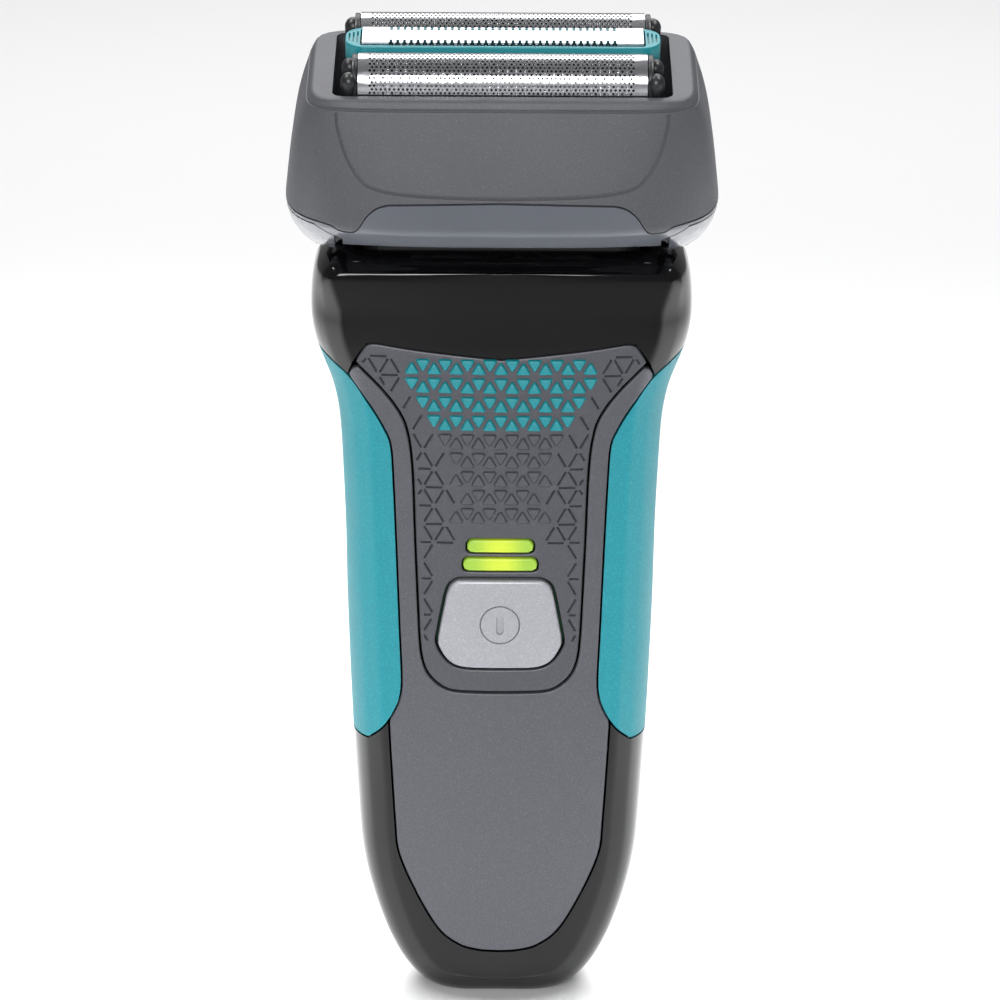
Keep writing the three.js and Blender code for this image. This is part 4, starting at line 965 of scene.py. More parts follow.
shellFront = shellHalf(-1)
pocket = boolean(copyOf(pocketShell, "pocket"), "INTERSECT", prism(grow(fasciaOutline, gap / 2), -far, -2))
shellFront = boolean(shellFront, "DIFFERENCE", pocket)
shellFront = boolean(shellFront, "DIFFERENCE", prism(grow(buttonOutline, gap), -far, -2))
for bar in lightBars.values():
    shellFront = boolean(shellFront, "DIFFERENCE", prism(lightOutline(bar, gap), -far, -2))
takeNormals(shellFront, skin)
finishPiece(shellFront, "front_shell", glossBlackAbs, "handle", ["housing_front"])

shellRear = shellHalf(1)
trayHalf = popup["half"] + gap + popup["wall"]
tray = box(-trayHalf, trayHalf, popup["floorY"] - popup["wall"], far,
           popup["lowZ"] - gap - popup["wall"], 2 * far)
trayPart = boolean(boolean(copyOf(outer, "tray"), "INTERSECT", tray), "INTERSECT",
                   box(-far, far, handle["seam"] + 1, far, 0, handle["topZ"] - 0.01))
shellRear = boolean(shellRear, "UNION", trayPart)
popupSpace = box(-popup["half"] - gap, popup["half"] + gap, popup["floorY"], far, popup["lowZ"] - gap, 2 * far)
shellRear = boolean(shellRear, "DIFFERENCE", popupSpace)
for x, z in screw["places"].values():
    back = alongTable(handle["rear"], z) - handle["crownRear"] - screw["sunk"]
    shellRear = boolean(shellRear, "DIFFERENCE", cylinderY(x, z, screw["bore"], back - screw["seat"], far))
takeNormals(shellRear, skin)
finishPiece(shellRear, "rear_shell", glossBlackAbs, "handle", ["housing_rear"])
print("shells and grips made:", len(shellFront.data.polygons), len(shellRear.data.polygons))

# head: worked out in its own frame, then tipped into place

head = {"tilt": 10.0, "originY": -4.5, "originZ": 150.2, "wall": 2.2, "rimHalf": 25.45, "rimDepth": 12.8,
        "rimRadius": 1.6, "rimThick": 2.5, "rimRound": 0.45, "floorH": -25.0, "around": 176, "bunch": 0.12,
        "openHalf": 22.0, "openDepth": 8, "openRadius": 2, "railHalf": 12, "railV": 9.2, "railThick": 1.4,
        "railLow": -25.2, "railHigh": -21.3,
        "rings": [(0, 28.6, 14.5, 14.5, 9), (-1.2, 29.4, 15, 15, 8), (-6, 31, 16.4, 16.2, 6),
                  (-12.6, 32.2, 18.2, 17.6, 4.6), (-19.4, 33, 19.8, 18.8, 3.6), (-22.8, 32.3, 17, 17.6, 3.2),
                  (-26.2, 30.4, 13, 15.4, 3), (-28.2, 28.2, 9.6, 13, 3)]}
partingHalf = smoothLine([(0, -14.8), (8, -14.95), (15.5, -15.15), (17.3, -15.3), (18.9, -15.9),
                          (20.3, -17.2), (21.3, -18.8), (22.1, -19.8), (23.2, -20.05), (24.5, -19.9),
                          (27.8, -18.9), (45, -19.3)], spacing=0.6)
cheek = {"front": 15.2, "low": -26.2, "high": -19.8, "inner": 25.3, "travel": 1.0}

headPlace = (Matrix.Translation((0, (head["originY"] + midY) * mm, head["originZ"] * mm))
             @ Matrix.Rotation(math.radians(head["tilt"]), 4, "X") @ Matrix.Translation((0, -midY * mm, 0)))


def intoHead(piece):
    piece.data.transform(headPlace)
    piece.data.update()
    return piece


def prismX(outline, x0, x1, name="prism"):
    # a (y, z) outline drawn out along x
    n = len(outline)
    points = [(x, y, z) for x in (x0, x1) for y, z in outline]
    sides = [(i, (i + 1) % n, n + (i + 1) % n, n + i) for i in range(n)]
    return fixNormals(newMesh(name, points, [tuple(range(n)), tuple(range(n, 2 * n)), *sides]))


def prismZ(outline, z0, z1, name="prism"):
    # an (x, y) outline drawn out along z
    n = len(outline)
    points = [(x, y, z) for z in (z0, z1) for x, y in outline]
    sides = [(i, (i + 1) % n, n + (i + 1) % n, n + i) for i in range(n)]
    return fixNormals(newMesh(name, points, [tuple(range(n)), tuple(range(n, 2 * n)), *sides]))


def headRing(h):
    # half width, front, rear and squareness at one height, smooth apart from a small round at the widest line
    rings = head["rings"][::-1]
    hs = np.array([r[0] for r in rings], float)
    values = np.array([r[1:] for r in rings], float)
    slopes = np.gradient(values, hs, axis=0)
    widest = len(rings) - 5
    marks = np.clip(h + np.linspace(-0.5, 0.5, 7), hs[0], hs[-1])
    total = np.zeros(4)
    for mark in marks:
        i = int(np.clip(np.searchsorted(hs, mark) - 1, 0, len(hs) - 2))
        step = hs[i + 1] - hs[i]
        chord = (values[i + 1] - values[i]) / step
        t = (mark - hs[i]) / step
        first = chord if i in (widest, len(hs) - 2) else slopes[i]
        second = chord if i + 1 in (widest, len(hs) - 2) else slopes[i + 1]
        total += ((2 * t ** 3 - 3 * t * t + 1) * values[i] + (t ** 3 - 2 * t * t + t) * step * first
                  + (3 * t * t - 2 * t ** 3) * values[i + 1] + (t ** 3 - t * t) * step * second)
    return total / len(marks)


def ringPoint(k, count, half, front, rear, power):
    # a point of a squared-off ellipse; points stand closer together where it turns
    angle = 2 * math.pi * k / count
    angle += head["bunch"] * math.sin(4 * angle)
    c, s = math.cos(angle), math.sin(angle)
    depth = front if s < 0 else rear
    reach = (abs(c / half) ** power + abs(s / depth) ** power) ** (-1 / power)
    return reach * c, reach * s, c, s


def headLoft(name, inset=0.0, step=0.4):
    lowest = head["rings"][-1][0]
    r = head["rimRound"]
    rows = [(-r + r * math.sin(a), r - r * math.cos(a)) for a in np.linspace(math.pi / 2, 0, 6)]
    rows += [(h, 0.0) for h in np.arange(-r - step, lowest, -step)] + [(lowest, 0.0)]
    points = []
    n = head["around"]
    for h, drawnIn in rows:
        half, front, rear, power = headRing(h)
        less = inset + drawnIn
        for k in range(n):
            x, v, _, _ = ringPoint(k + 0.5, n, half - less, front - less, rear - less, power)
            points.append((x, v, h))
    faces = []
    for i in range(len(rows) - 1):
        for k in range(n):
            faces.append((i * n + k, i * n + (k + 1) % n, (i + 1) * n + (k + 1) % n, (i + 1) * n + k))
    faces += [tuple(range(n)), tuple(range((len(rows) - 1) * n, len(rows) * n))]
    return fixNormals(newMesh(name, points, faces))


def overParting(shift):
    line = [(x, h + shift) for x, h in partingHalf]
    left = [(-x, h) for x, h in line[1:]][::-1]
    return prism([*left, *line, (45, far), (-45, far)], -far, far)


def tube(points, radius, sides=8, closed=False, name="tube"):
    # a round bar along a line, points in millimetres
    pts = [Vector(p) for p in points]
    n = len(pts)
    rings, keep = [], None
    for i, p in enumerate(pts):
        ahead = pts[(i + 1) % n] if closed or i + 1 < n else p
        behind = pts[i - 1] if closed or i > 0 else p
        way = (ahead - behind).normalized()
        if keep is None:
            keep = way.orthogonal().normalized()
        keep = (keep - way * keep.dot(way)).normalized()
        across = way.cross(keep)
        rings.append([p + (keep * math.cos(a) + across * math.sin(a)) * radius
                      for a in np.linspace(0, 2 * math.pi, sides, endpoint=False)])
    flat = [tuple(v) for ring in rings for v in ring]
    faces = []
    for i in range(n if closed else n - 1):
        j = (i + 1) % n
        faces += [(i * sides + k, i * sides + (k + 1) % sides, j * sides + (k + 1) % sides, j * sides + k)
                  for k in range(sides)]
    if not closed:
        faces += [tuple(range(sides)), tuple(range((n - 1) * sides, n * sides))]
    return fixNormals(newMesh(name, flat, faces))


headOuter = headLoft("headOuter")
headInner = headLoft("headInner", head["wall"])
headSkin = Skin(headOuter)
figureLines = {
    "bib": [(-24.8, -1.9), (-24.7, -3.2), (-24.4, -4.8), (-23.2, -8.4), (-21.3, -11.4), (-18.8, -12.9),
            (-12.1, -13.75), (0, -14.1)],
    "deep": 0.2, "radius": 0.3, "rimH": -1.35, "rimOut": 0.1, "rimPoints": 220,
}


def onHeadFront(x, h, sunk):
    hit = headSkin.tree.ray_cast(Vector((x * mm, -1, h * mm)), Vector((0, 1, 0)))[0]
    return (x, hit.y / mm - midY + sunk, h)


def makeHeadFrame():
    below = box(-far, far, -far, far, -far, -head["rimThick"])
    hollow = boolean(copyOf(headInner, "hollow"), "INTERSECT", below)
    made = boolean(copyOf(headOuter, "head frame"), "DIFFERENCE", hollow)
    made = boolean(made, "INTERSECT", overParting(gap / 2))
    mouth = roundedBox(head["rimHalf"], head["rimDepth"], head["rimRadius"], 6)
    made = boolean(made, "DIFFERENCE", prismZ(mouth, -far, 1))
    f = figureLines
    line = smoothLine(f["bib"], spacing=0.8)
    line = line + [(-x, h) for x, h in line[-2::-1]]
    sunk = f["radius"] - f["deep"]
    made = boolean(made, "DIFFERENCE", tube([onHeadFront(x, h, -sunk) for x, h in line], f["radius"]))
    # the fine step all round under the rim
    ring = []
    for k in range(f["rimPoints"]):
        x, v, c, s = ringPoint(k, f["rimPoints"], *headRing(f["rimH"]))
        ring.append((x + f["rimOut"] * c, v + f["rimOut"] * s, f["rimH"]))
    made = boolean(made, "DIFFERENCE", tube(ring, f["radius"], 8, True))
    return made


headFrame = takeNormals(makeHeadFrame(), headSkin)
intoHead(headFrame)
finishPiece(headFrame, "head_cover", matteGreyAbs, "frame", ["head_frame"])
print("head cover made:", len(headFrame.data.polygons))


def cheekRegion(extra, inner, side):
    x0, x1 = (inner, far) if side > 0 else (-far, -inner)
    reach = cheek["front"] + extra
    return box(x0, x1, -reach, reach, cheek["low"] - extra, cheek["high"] + extra)


def makeHeadBase():
    above = box(-far, far, -far, far, head["floorH"], far)
    hollow = boolean(copyOf(headInner, "hollow"), "INTERSECT", above)
    made = boolean(copyOf(headOuter, "head base"), "DIFFERENCE", hollow)
    made = boolean(made, "DIFFERENCE", overParting(-gap / 2))
    # room over the collar when the head tilts
    clearance = [(-22, -30), (-22, -21.4), (-16, -22.9), (-10, -24.9), (-4, -26.5), (1, -27.1), (8, -28.2),
                 (16, -28.8), (16, -30)]
    made = boolean(made, "DIFFERENCE", prismX(clearance, -28, 28))
    for side in (-1, 1):
        made = boolean(made, "DIFFERENCE", cheekRegion(gap, cheek["inner"] - cheek["travel"] - gap, side))
    opening = roundedBox(head["openHalf"], head["openDepth"], head["openRadius"])
    made = boolean(made, "DIFFERENCE", prismZ(opening, -far, 0))
    return made


headBase = takeNormals(makeHeadBase(), headSkin)
intoHead(headBase)
rails = []
for side in (-1, 1):
    v = side * head["railV"]
    rail = box(-head["railHalf"], head["railHalf"], v - head["railThick"] / 2, v + head["railThick"] / 2,
               head["railLow"], head["railHigh"])
    rails.append(softEdges(rail, 0.25))
rails = intoHead(joined("rails", rails))
finishPiece(headBase, "head_lower_shell", glossGreyAbs, "head", ["head_base"])
finishPiece(rails, "yoke_rails", glossGreyAbs, "head")

for side, word in ((-1, "left"), (1, "right")):
    shell = boolean(copyOf(headOuter, "release"), "DIFFERENCE", headLoft("inner", 1.9))
    release = boolean(shell, "INTERSECT", cheekRegion(0, cheek["inner"], side))
    takeNormals(release, headSkin)
    intoHead(release)
    finishPiece(release, "release_cap_" + word, glossGreyAbs, "release_" + word,
                ["release_button_" + word])
print("head base and release caps made:", len(headBase.data.polygons))

# foils: a hexagonal field of holes, bent over and thickened

foil = {"v": 8.3, "radius": 4.1, "centreH": 0.8, "half": 21.6, "skirt": 4.8, "thick": 0.14, "pitch": 0.66,
        "hole": 0.205, "plainEnd": 1.15, "holeSides": 8, "holeReach": 9.2}


def makeFoil(f, side):
    arc = math.pi * f["radius"]
    total = arc / 2 + f["skirt"]
    row = f["pitch"] * math.sqrt(3) / 2
    centres = []
    for j in range(-int(f["holeReach"] / row), int(f["holeReach"] / row) + 1):
        shift = 0.5 * (j % 2)
        reach = f["half"] - f["plainEnd"]
        count = int(reach / f["pitch"])
        centres += [((k + shift) * f["pitch"], j * row) for k in range(-count, count)]
    points, edges = [], []
    for x, s in centres:
        first = len(points)
        points += circle(x, s, f["hole"], f["holeSides"])
        edges += [(first + k, first + (k + 1) % f["holeSides"]) for k in range(f["holeSides"])]
    border = evenly([(-f["half"], -total), (f["half"], -total), (f["half"], total), (-f["half"], total)], 0.45)
    first = len(points)
    points += border
    edges += [(first + k, first + (k + 1) % len(border)) for k in range(len(border))]
    for x in (-f["half"] + 0.45, f["half"] - 0.45):
        points += [(x, s) for s in np.arange(-total + 0.4, total - 0.2, 0.45)]
    for s in np.arange(f["holeReach"] + 0.5, total - 0.3, 0.8):
        points += [(x, sign * s) for x in np.arange(-f["half"] + 1, f["half"] - 0.5, 1.2) for sign in (-1, 1)]
    out = delaunay_2d_cdt([Vector(p) for p in points], edges, [], 0, 1e-6)
    flat = np.array([tuple(p) for p in out[0]])
    triangles = np.array([list(t) for t in out[2]])
    middles = flat[triangles].mean(1)
    # the hole that each face would lie in, found on the hexagonal grid
    j = np.round(middles[:, 1] / row)
    inside = np.zeros(len(middles), bool)
    for dj in (-1, 0, 1):
        jj = j + dj
        shift = 0.5 * (jj % 2)
        for dk in (0, 1):
            k = np.floor(middles[:, 0] / f["pitch"] - shift) + dk
            away = np.hypot(middles[:, 0] - (k + shift) * f["pitch"], middles[:, 1] - jj * row)
            count = int((f["half"] - f["plainEnd"]) / f["pitch"])
            real = (k >= -count) & (k < count) & (np.abs(jj) <= int(f["holeReach"] / row))
            inside |= (away < f["hole"] * 0.9) & real
    triangles = triangles[~inside]
    bent = []
    for x, s in flat:
        if abs(s) <= arc / 2:
            angle = s / f["radius"]
            v, h = f["radius"] * math.sin(angle), f["centreH"] + f["radius"] * math.cos(angle)
        else:
            v, h = math.copysign(f["radius"], s), f["centreH"] - (abs(s) - arc / 2)
        bent.append((x, v + side * f["v"], h))
    made = newMesh("foil", bent, [tuple(int(v) for v in t) for t in triangles])
    made.data.validate()
    select(made)
    bpy.ops.object.mode_set(mode="EDIT")
    bpy.ops.mesh.select_all(action="SELECT")
    bpy.ops.mesh.delete_loose()
    bpy.ops.object.mode_set(mode="OBJECT")
    top = max(made.data.polygons, key=lambda face: face.center.z)
    if top.normal.z < 0:
        made.data.flip_normals()
    step = made.modifiers.new("wall", "SOLIDIFY")
    step.thickness = f["thick"] * mm
    step.offset = -1
    applyModifiers(made)
    return smooth(made, 40)


cassette = {"archRadius": 3.95, "halfFoot": 4.05, "footH": -7.2, "railHigh": -4.3, "railHalf": 21.9,
            "railV": 3.97, "railThick": 0.5, "flangeIn": 21.7, "flangeOut": 22.5, "lugV": 2.9, "lugX": 22.9,
            "lugH": 1.7, "lugRadius": 1.45, "lugDrop": 2.2, "lugFlat": 0.9, "webHalf": 2.6, "webIn": 22.3,
            "webOut": 23.6, "webLow": -6.5, "webHigh": 1.2}


def endCap(s, side):
    # the black end of a foil cassette: an arched flange with two rounded lugs
    c = cassette
    turns = np.linspace(0, math.pi, 25)
    arcLine = [(c["archRadius"] * math.cos(a), foil["centreH"] + c["archRadius"] * math.sin(a))
               for a in turns]
    flange = prismX([(c["halfFoot"], c["footH"]), *arcLine, (-c["halfFoot"], c["footH"])],
                    s * c["flangeIn"], s * c["flangeOut"])
    lugs = []
    for v in (-c["lugV"], c["lugV"]):
        bpy.ops.object.select_all(action="DESELECT")
        bpy.ops.mesh.primitive_uv_sphere_add(segments=28, ring_count=16, radius=c["lugRadius"] * mm,
                                             location=(s * c["lugX"] * mm, (midY + v) * mm, c["lugH"] * mm),
                                             rotation=(0, math.pi / 2, 0))
        lug = bpy.context.object
        bpy.ops.object.transform_apply(location=True, rotation=True, scale=True)
        for vertex in lug.data.vertices:
            under = vertex.co.z - c["lugH"] * mm
            if under < 0:
                vertex.co.z = c["lugH"] * mm + under * c["lugDrop"]
            vertex.co.x = s * c["lugX"] * mm + (vertex.co.x - s * c["lugX"] * mm) * c["lugFlat"]
        lugs.append(lug)
    x0, x1 = sorted((s * c["webIn"], s * c["webOut"]))
    web = box(x0, x1, -c["webHalf"], c["webHalf"], c["webLow"], c["webHigh"])
    made = softEdges(flange, 0.2)
    made = boolean(made, "UNION", *lugs, softEdges(web, 0.3))
    for v in made.data.vertices:
        v.co.y += side * foil["v"] * mm
    return smooth(made, 40)


for side, word in ((-1, "front"), (1, "rear")):
    sheetPiece = intoHead(makeFoil(foil, side))
    finishPiece(sheetPiece, "foil_mesh_" + word, nickelFoil, "foil_unit_" + word,
                ["foil_" + word])
    frameParts = [endCap(-1, side), endCap(1, side)]
    for v in (-1, 1):
        y = side * foil["v"] + v * cassette["railV"]
        rail = box(-cassette["railHalf"], cassette["railHalf"], y - cassette["railThick"] / 2,
                   y + cassette["railThick"] / 2, cassette["footH"], cassette["railHigh"])
        frameParts.append(softEdges(rail, 0.12))
    black = intoHead(joined("cassette", frameParts))
    finishPiece(black, "foil_cassette_" + word, blackPolyamide, "foil_unit_" + word,
                ["foil_frame_" + word])
print("foils made:", len(sheetPiece.data.polygons), "faces each")

# trimmer between the foils

trimmer = {"half": 23.75, "depth": 3.95, "radius": 3.0, "openHalf": 21.5, "openDepth": 3.45, "low": 1.6,
           "high": 4.4, "ribs": 3, "ribPitch": 0.62, "ribHalf": 2.3, "ribTaper": 0.35, "ribWide": 0.14,
           "ribDeep": 0.4, "combHalf": 21.2, "combDepth": 3.15, "combLow": 4.0,
           "combHigh": 4.78, "slotPitch": 1.02, "slotWide": 0.42, "slotDeep": 1.15, "slots": 34,
           "lead": 0.12}


def makeTrimmerFrame(t):
    made = prismZ(roundedBox(t["half"], t["depth"], t["radius"], 8), t["low"], t["high"])
    made = softEdges(made, 0.16, 3)
    made = boolean(made, "DIFFERENCE", prismZ(roundedBox(t["openHalf"], t["openDepth"], 0.6, 4), -far, far))
    for side in (-1, 1):
        for k in range(t["ribs"]):
            x = side * (t["openHalf"] + 0.4 + t["ribPitch"] * k)
            reach = t["ribHalf"] - t["ribTaper"] * k
            groove = box(x - t["ribWide"], x + t["ribWide"], -reach, reach, t["high"] - t["ribDeep"], far)
            made = boolean(made, "DIFFERENCE", groove)
        leg = box(min(side * 21.5, side * 22.7), max(side * 21.5, side * 22.7), -2.4, 2.4, -9, t["low"] + 0.3)
        made = boolean(made, "UNION", leg)
    return smooth(made, 35)


def makeComb(t):
    teeth = []
    for side in (-1, 1):
        line = [(-t["combHalf"], 0.0)]
        for k in range(t["slots"]):
            x = (k - (t["slots"] - 1) / 2) * t["slotPitch"]
            w = t["slotWide"] / 2
            edge, root = side * t["combDepth"], side * (t["combDepth"] - t["slotDeep"])
            tip = side * (t["combDepth"] - 1.5 * t["lead"])
            out = w + t["lead"]
            line += [(x - out, edge), (x - w, tip), (x - w, root), (x + w, root), (x + w, tip),
                     (x + out, edge)]
        teeth.append(line[1:])
    low = [(-t["combHalf"], -t["combDepth"]), *teeth[0], (t["combHalf"], -t["combDepth"])]
    high = [(-t["combHalf"], t["combDepth"]), *teeth[1], (t["combHalf"], t["combDepth"])]
    return prismZ([*low, *high[::-1]], t["combLow"], t["combHigh"])


trimmerFrame = intoHead(makeTrimmerFrame(trimmer))
finishPiece(trimmerFrame, "trimmer_carrier", tealAbs, "trimmer", ["trimmer_frame"])
comb = intoHead(smooth(makeComb(trimmer), 30))
finishPiece(comb, "trimmer_teeth", nickelFoil, "trimmer", ["trimmer_comb"])

# cutters and what drives them

cutter = {"half": 19.0, "blades": 28, "thick": 0.3, "radius": 3.7, "inner": 2.9, "bladeLow": -1.4,
          "barHalf": 3.0, "barHigh": -0.7, "spineHalf": 1.5, "spineLow": -3.6, "spineHigh": 0.8}
cutterCoil = {"low": -9.95, "high": -6.6, "radius": 1.65, "wire": 0.3, "turns": 3.5}


def makeCutter(c, side):
    # an arched blade every millimetre and a bit on one spine
    spine = box(-c["half"], c["half"], -c["spineHalf"], c["spineHalf"], c["spineLow"], c["spineHigh"])
    parts = [softEdges(spine, 0.25)]
    turns = np.linspace(0, math.pi, 17)
    arcOut, arcIn = ([(r * math.cos(a), foil["centreH"] + r * math.sin(a)) for a in turns]
                     for r in (c["radius"], c["inner"]))
    low = c["bladeLow"]
    hoop = [*arcOut, (-c["radius"], low), (-c["inner"], low), *arcIn[::-1], (c["inner"], low),
            (c["radius"], low)]
    for k in range(c["blades"]):
        x = (k - (c["blades"] - 1) / 2) * (2 * (c["half"] - 0.4) / (c["blades"] - 1))
        parts.append(prismX(hoop, x - c["thick"] / 2, x + c["thick"] / 2))
        parts.append(box(x - c["thick"] / 2, x + c["thick"] / 2, -c["barHalf"], c["barHalf"], low,
                         c["barHigh"]))
    made = joined("cutter", parts)
    for v in made.data.vertices:
        v.co.y += side * foil["v"] * mm
    return made


def coil(x, y, low, high, radius, wire, turns):
    # an upright coil spring
    steps = int(turns * 20)
    line = []
    for i in range(steps + 1):
        t = i / steps
        a = 2 * math.pi * turns * t
        lift = 0.5 - 0.5 * math.cos(math.pi * t)
        z = low + wire + (high - low - 2 * wire) * (0.35 * lift + 0.65 * t)
        line.append((x + radius * math.cos(a), y + radius * math.sin(a), z))
    return tube(line, wire, 8)


for side, word in ((-1, "front"), (1, "rear")):
    blades = intoHead(makeCutter(cutter, side))
    finishPiece(smooth(blades, 30), "cutter_blades_" + word, stainless, "cutter_unit_" + word,
                ["cutter_" + word])
    spring = intoHead(coil(0, side * foil["v"], **cutterCoil))
    finishPiece(smooth(spring, 60), "cutter_coil_" + word, brightSteel, "oscillator",
                ["cutter_spring_" + word])
print("trimmer and cutters made")

# fittings at the back and foot


def screwHead(place):
    # a sunk head with a cross
    x, z = place
    s = screw
    y = alongTable(handle["rear"], z) - handle["crownRear"] - s["sunk"]
    made = softEdges(cylinderY(x, z, s["radius"], y - s["high"], y, "screw", 40), s["round"], 3)
    for half, high in ((s["crossLong"], s["crossWide"]), (s["crossWide"], s["crossLong"])):
        slot = box(x - half, x + half, y - s["crossDeep"], y + 1, z - high, z + high)
        made = boolean(made, "DIFFERENCE", slot)
    return smooth(made, 35)


for word, place in screw["places"].items():
    finishPiece(screwHead(place), "screw_" + word, platedSteel, "handle", ["housing_screw_" + word])

for side, word in ((-1, "left"), (1, "right")):
    bpy.ops.object.select_all(action="DESELECT")
    bpy.ops.mesh.primitive_cylinder_add(vertices=32, radius=0.72 * mm, depth=10.6 * mm,
                                        location=(side * 4.4 * mm, midY * mm, 7.4 * mm))
    pin = bpy.context.object
    bpy.ops.object.transform_apply(location=True, rotation=True, scale=True)
    finishPiece(softEdges(pin, 0.3, 4), "inlet_pin_" + word, brightSteel, "handle",
                ["socket_pin_" + word])


def toothed(half, y0, y1, low, high, count, deep, chamfer=0.0):
    # an upright comb: teeth along the top edge
    pitch = 2 * half / (count + 1)
    line = [(-half, low), (half, low), (half, high)]
    for k in range(count, 0, -1):
        x = -half + k * pitch
        w = pitch * 0.25
        line += [(x + w + 0.12, high), (x + w, high - 0.2), (x + w, high - deep), (x - w, high - deep),
                 (x - w, high - 0.2), (x - w - 0.12, high)]
    line += [(-half, high)]
    made = prism(line, y0, y1)
    if chamfer:
        for v in made.data.vertices:
            if v.co.z > (high - 0.1) * mm and v.co.y < (midY + (y0 + y1) / 2) * mm:
                v.co.y += chamfer * mm
    return made


fixedTeeth = {"half": 12.9, "y0": 11.95, "y1": 12.75, "low": 114.35, "high": 118.4, "count": 25, "deep": 1.5,
              "chamfer": 0.45}
movingTeeth = {"half": 11.7, "y0": 13.15, "y1": 13.75, "low": 114.35, "high": 118.0, "count": 23, "deep": 1.4}
popupComb = toothed(**fixedTeeth)
finishPiece(smooth(popupComb, 30), "popup_teeth_fixed", stainless, "popup", ["popup_comb"])
popupBlade = toothed(**movingTeeth)
finishPiece(smooth(popupBlade, 30), "popup_teeth_moving", stainless, "popup_cutter", ["popup_blade"])


def makeSlider(p):
    inside = box(-p["half"] + p["play"], p["half"] - p["play"], p["frontY"], far,
                 p["lowZ"] + p["play"], p["highZ"] - p["play"])
    made = boolean(copyOf(outer, "slider"), "INTERSECT", inside)
    seat = softEdges(box(-p["seatHalf"], p["seatHalf"], p["seatY"], far, p["seatLow"], p["seatHigh"]), 0.2)
    return takeNormals(boolean(made, "DIFFERENCE", seat), skin)


def makeKnob(p):
    # a thumb pad that stands a little proud, with cross grooves
    block = box(-p["knobHalf"], p["knobHalf"], p["knobY"], far, p["knobLow"], p["knobHigh"])
    block = softEdges(block, p["knobRound"], 4)
    made = boolean(handleLoft("knob", -p["knobProud"], stations=60), "INTERSECT", block)
    for k in range(p["grooves"]):
        z = p["grooveLow"] + k * p["groovePitch"]
        floorY = alongTable(handle["rear"], z) + p["grooveOver"]
        groove = box(-p["grooveHalf"], p["grooveHalf"], floorY, far, z - p["grooveWide"], z + p["grooveWide"])
        made = boolean(made, "DIFFERENCE", softEdges(groove, 0.1))
    return smooth(made, 35)


finishPiece(makeSlider(popup), "popup_slider", satinGreyAbs, "popup", ["popup_carrier"])
finishPiece(makeKnob(popup), "popup_knob", tealAbs, "popup", ["popup_thumb_slide"])
print("popup trimmer and screws made")

for left in (headOuter, headInner):
    bpy.data.objects.remove(left)

# kept nodes get the material of their slot

slotLooks = {"gloss black ABS": glossBlackAbs, "satin grey ABS": satinGreyAbs,
             "textured insert": insertGreyAbs, "teal rubber": tealRubber, "light pipe": limeLight,
             "silver lacquer": silverLacquer,
             "black plastic": blackPolyamide, "circuit board": boardLaminate, "cell sleeve": cellSleeve,
             "contact brass": brass, "steel": stainless, "foil steel": nickelFoil,
             "white acetal": whiteAcetal, "black rubber": blackRubber, "gloss grey ABS": glossGreyAbs,
             "matte grey ABS": matteGreyAbs, "teal ABS": tealAbs}

for entry in frame["record"]["subparts"]:
    mesh = frame["nodes"][entry["node"]].data
    mesh.materials.clear()
    mesh.materials.append(slotLooks[entry["material_slot"]])
print("kept nodes coloured")


# floor, lights and camera


def makeFloor():
    bpy.ops.object.select_all(action="DESELECT")
    bpy.ops.mesh.primitive_plane_add(size=8, location=(0, 0, -0.0002))
    floor = bpy.context.object
    floor.name = "floor"
    material, tree, shader, place = startMaterial("pale studio floor", "#f4f4f5", 0.6)
    cloud = addNode(tree, "ShaderNodeTexNoise", links={"Vector": place}, Scale=3.0, Detail=2.0)
    tone = addNode(tree, "ShaderNodeMapRange", links={"Value": cloud.outputs["Fac"]})
    tone.inputs["To Min"].default_value = 0.55
    tone.inputs["To Max"].default_value = 0.65
    tree.links.new(tone.outputs["Result"], shader.inputs["Roughness"])
    floor.data.materials.append(material)


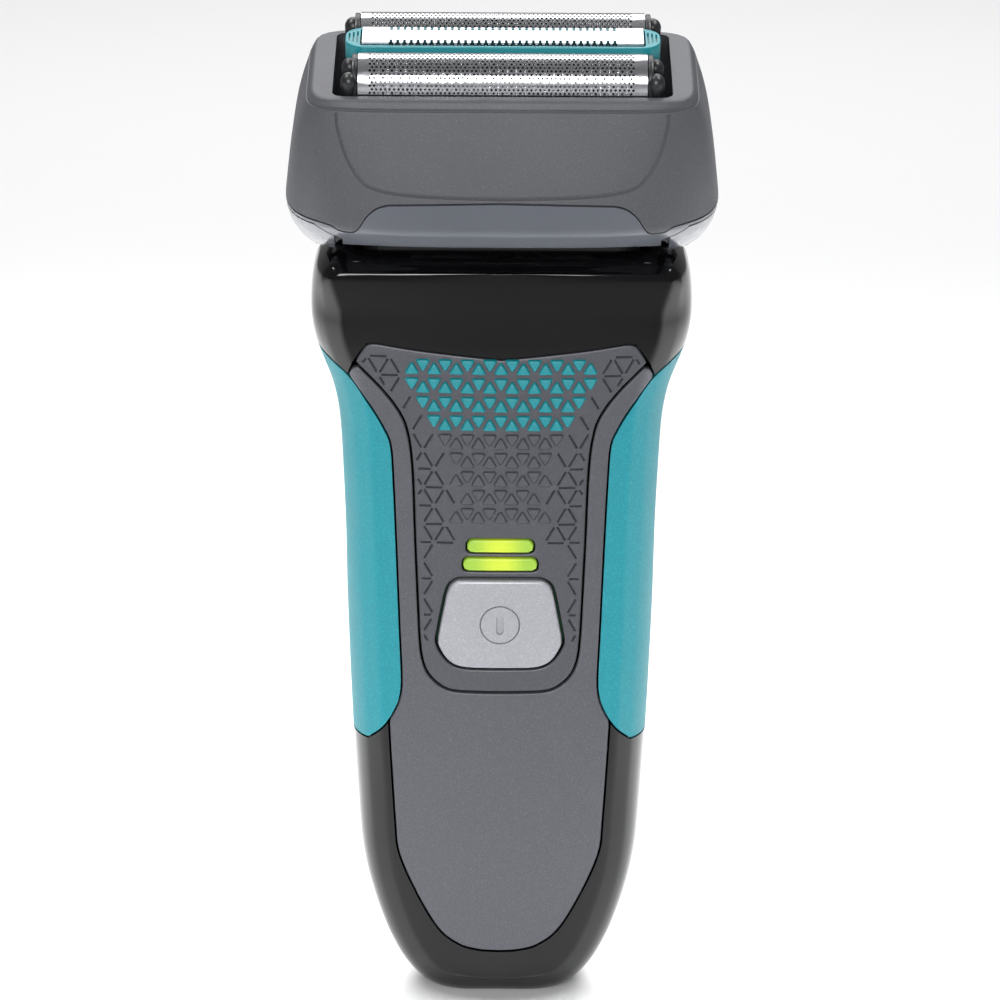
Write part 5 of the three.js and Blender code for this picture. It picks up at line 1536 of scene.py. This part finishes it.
def softBox(name, place, aim, size, sizeY, power, spread):
    light = bpy.data.lights.new(name, "AREA")
    light.shape = "RECTANGLE"
    light.size, light.size_y, light.energy = size, sizeY, power
    light.spread = math.radians(spread)
    lamp = bpy.data.objects.new(name, light)
    bpy.context.scene.collection.objects.link(lamp)
    lamp.location = place
    lamp.rotation_mode = "QUATERNION"
    lamp.rotation_quaternion = (Vector(aim) - Vector(place)).to_track_quat("-Z", "Y")
    return lamp


cameraSettings = {"elevation": 17.0, "distance": 0.770, "aimZ": 0.080, "lens": 177.4, "roll": 0.3}


def makeCamera(c):
    data = bpy.data.cameras.new("camera")
    data.sensor_width, data.lens = 36, c["lens"]
    data.clip_start, data.clip_end = 0.05, 20
    camera = bpy.data.objects.new("camera", data)
    bpy.context.scene.collection.objects.link(camera)
    e = math.radians(c["elevation"])
    aim = Vector((0, midY * mm, c["aimZ"]))
    back = Vector((0, -math.cos(e), math.sin(e)))
    camera.location = aim + back * c["distance"]
    camera.rotation_mode = "QUATERNION"
    turn = (-back).to_track_quat("-Z", "Y")
    camera.rotation_quaternion = turn @ Matrix.Rotation(math.radians(c["roll"]), 4, "Z").to_quaternion()
    data.shift_x = -0.0005
    bpy.context.scene.camera = camera


makeFloor()
makeCamera(cameraSettings)
aim = (0, 0, 0.09)
softBox("front softbox", (-0.1, -0.95, 0.42), aim, 0.5, 0.35, 0.78, 50)
softBox("left floor strip", (-0.34, -0.1, 0.55), (-0.26, -0.02, 0), 0.1, 0.5, 1.1, 60)
softBox("right floor strip", (0.34, -0.1, 0.55), (0.26, -0.02, 0), 0.1, 0.5, 1.1, 60)
softBox("back softbox", (0.0, 0.85, 0.9), (0, 0.4, 0), 1.2, 0.9, 5, 110)
world = bpy.data.worlds.new("studio")
bpy.context.scene.world = world
world.use_nodes = True
world.node_tree.nodes["Background"].inputs["Color"].default_value = hexColour("#ffffff")
world.node_tree.nodes["Background"].inputs["Strength"].default_value = 0.2
bpy.context.scene.view_settings.view_transform = "Standard"
print("floor, lights and camera made")

for left in (outer, skinInner, cavity, pocketShell, skinShell):
    bpy.data.objects.remove(left)
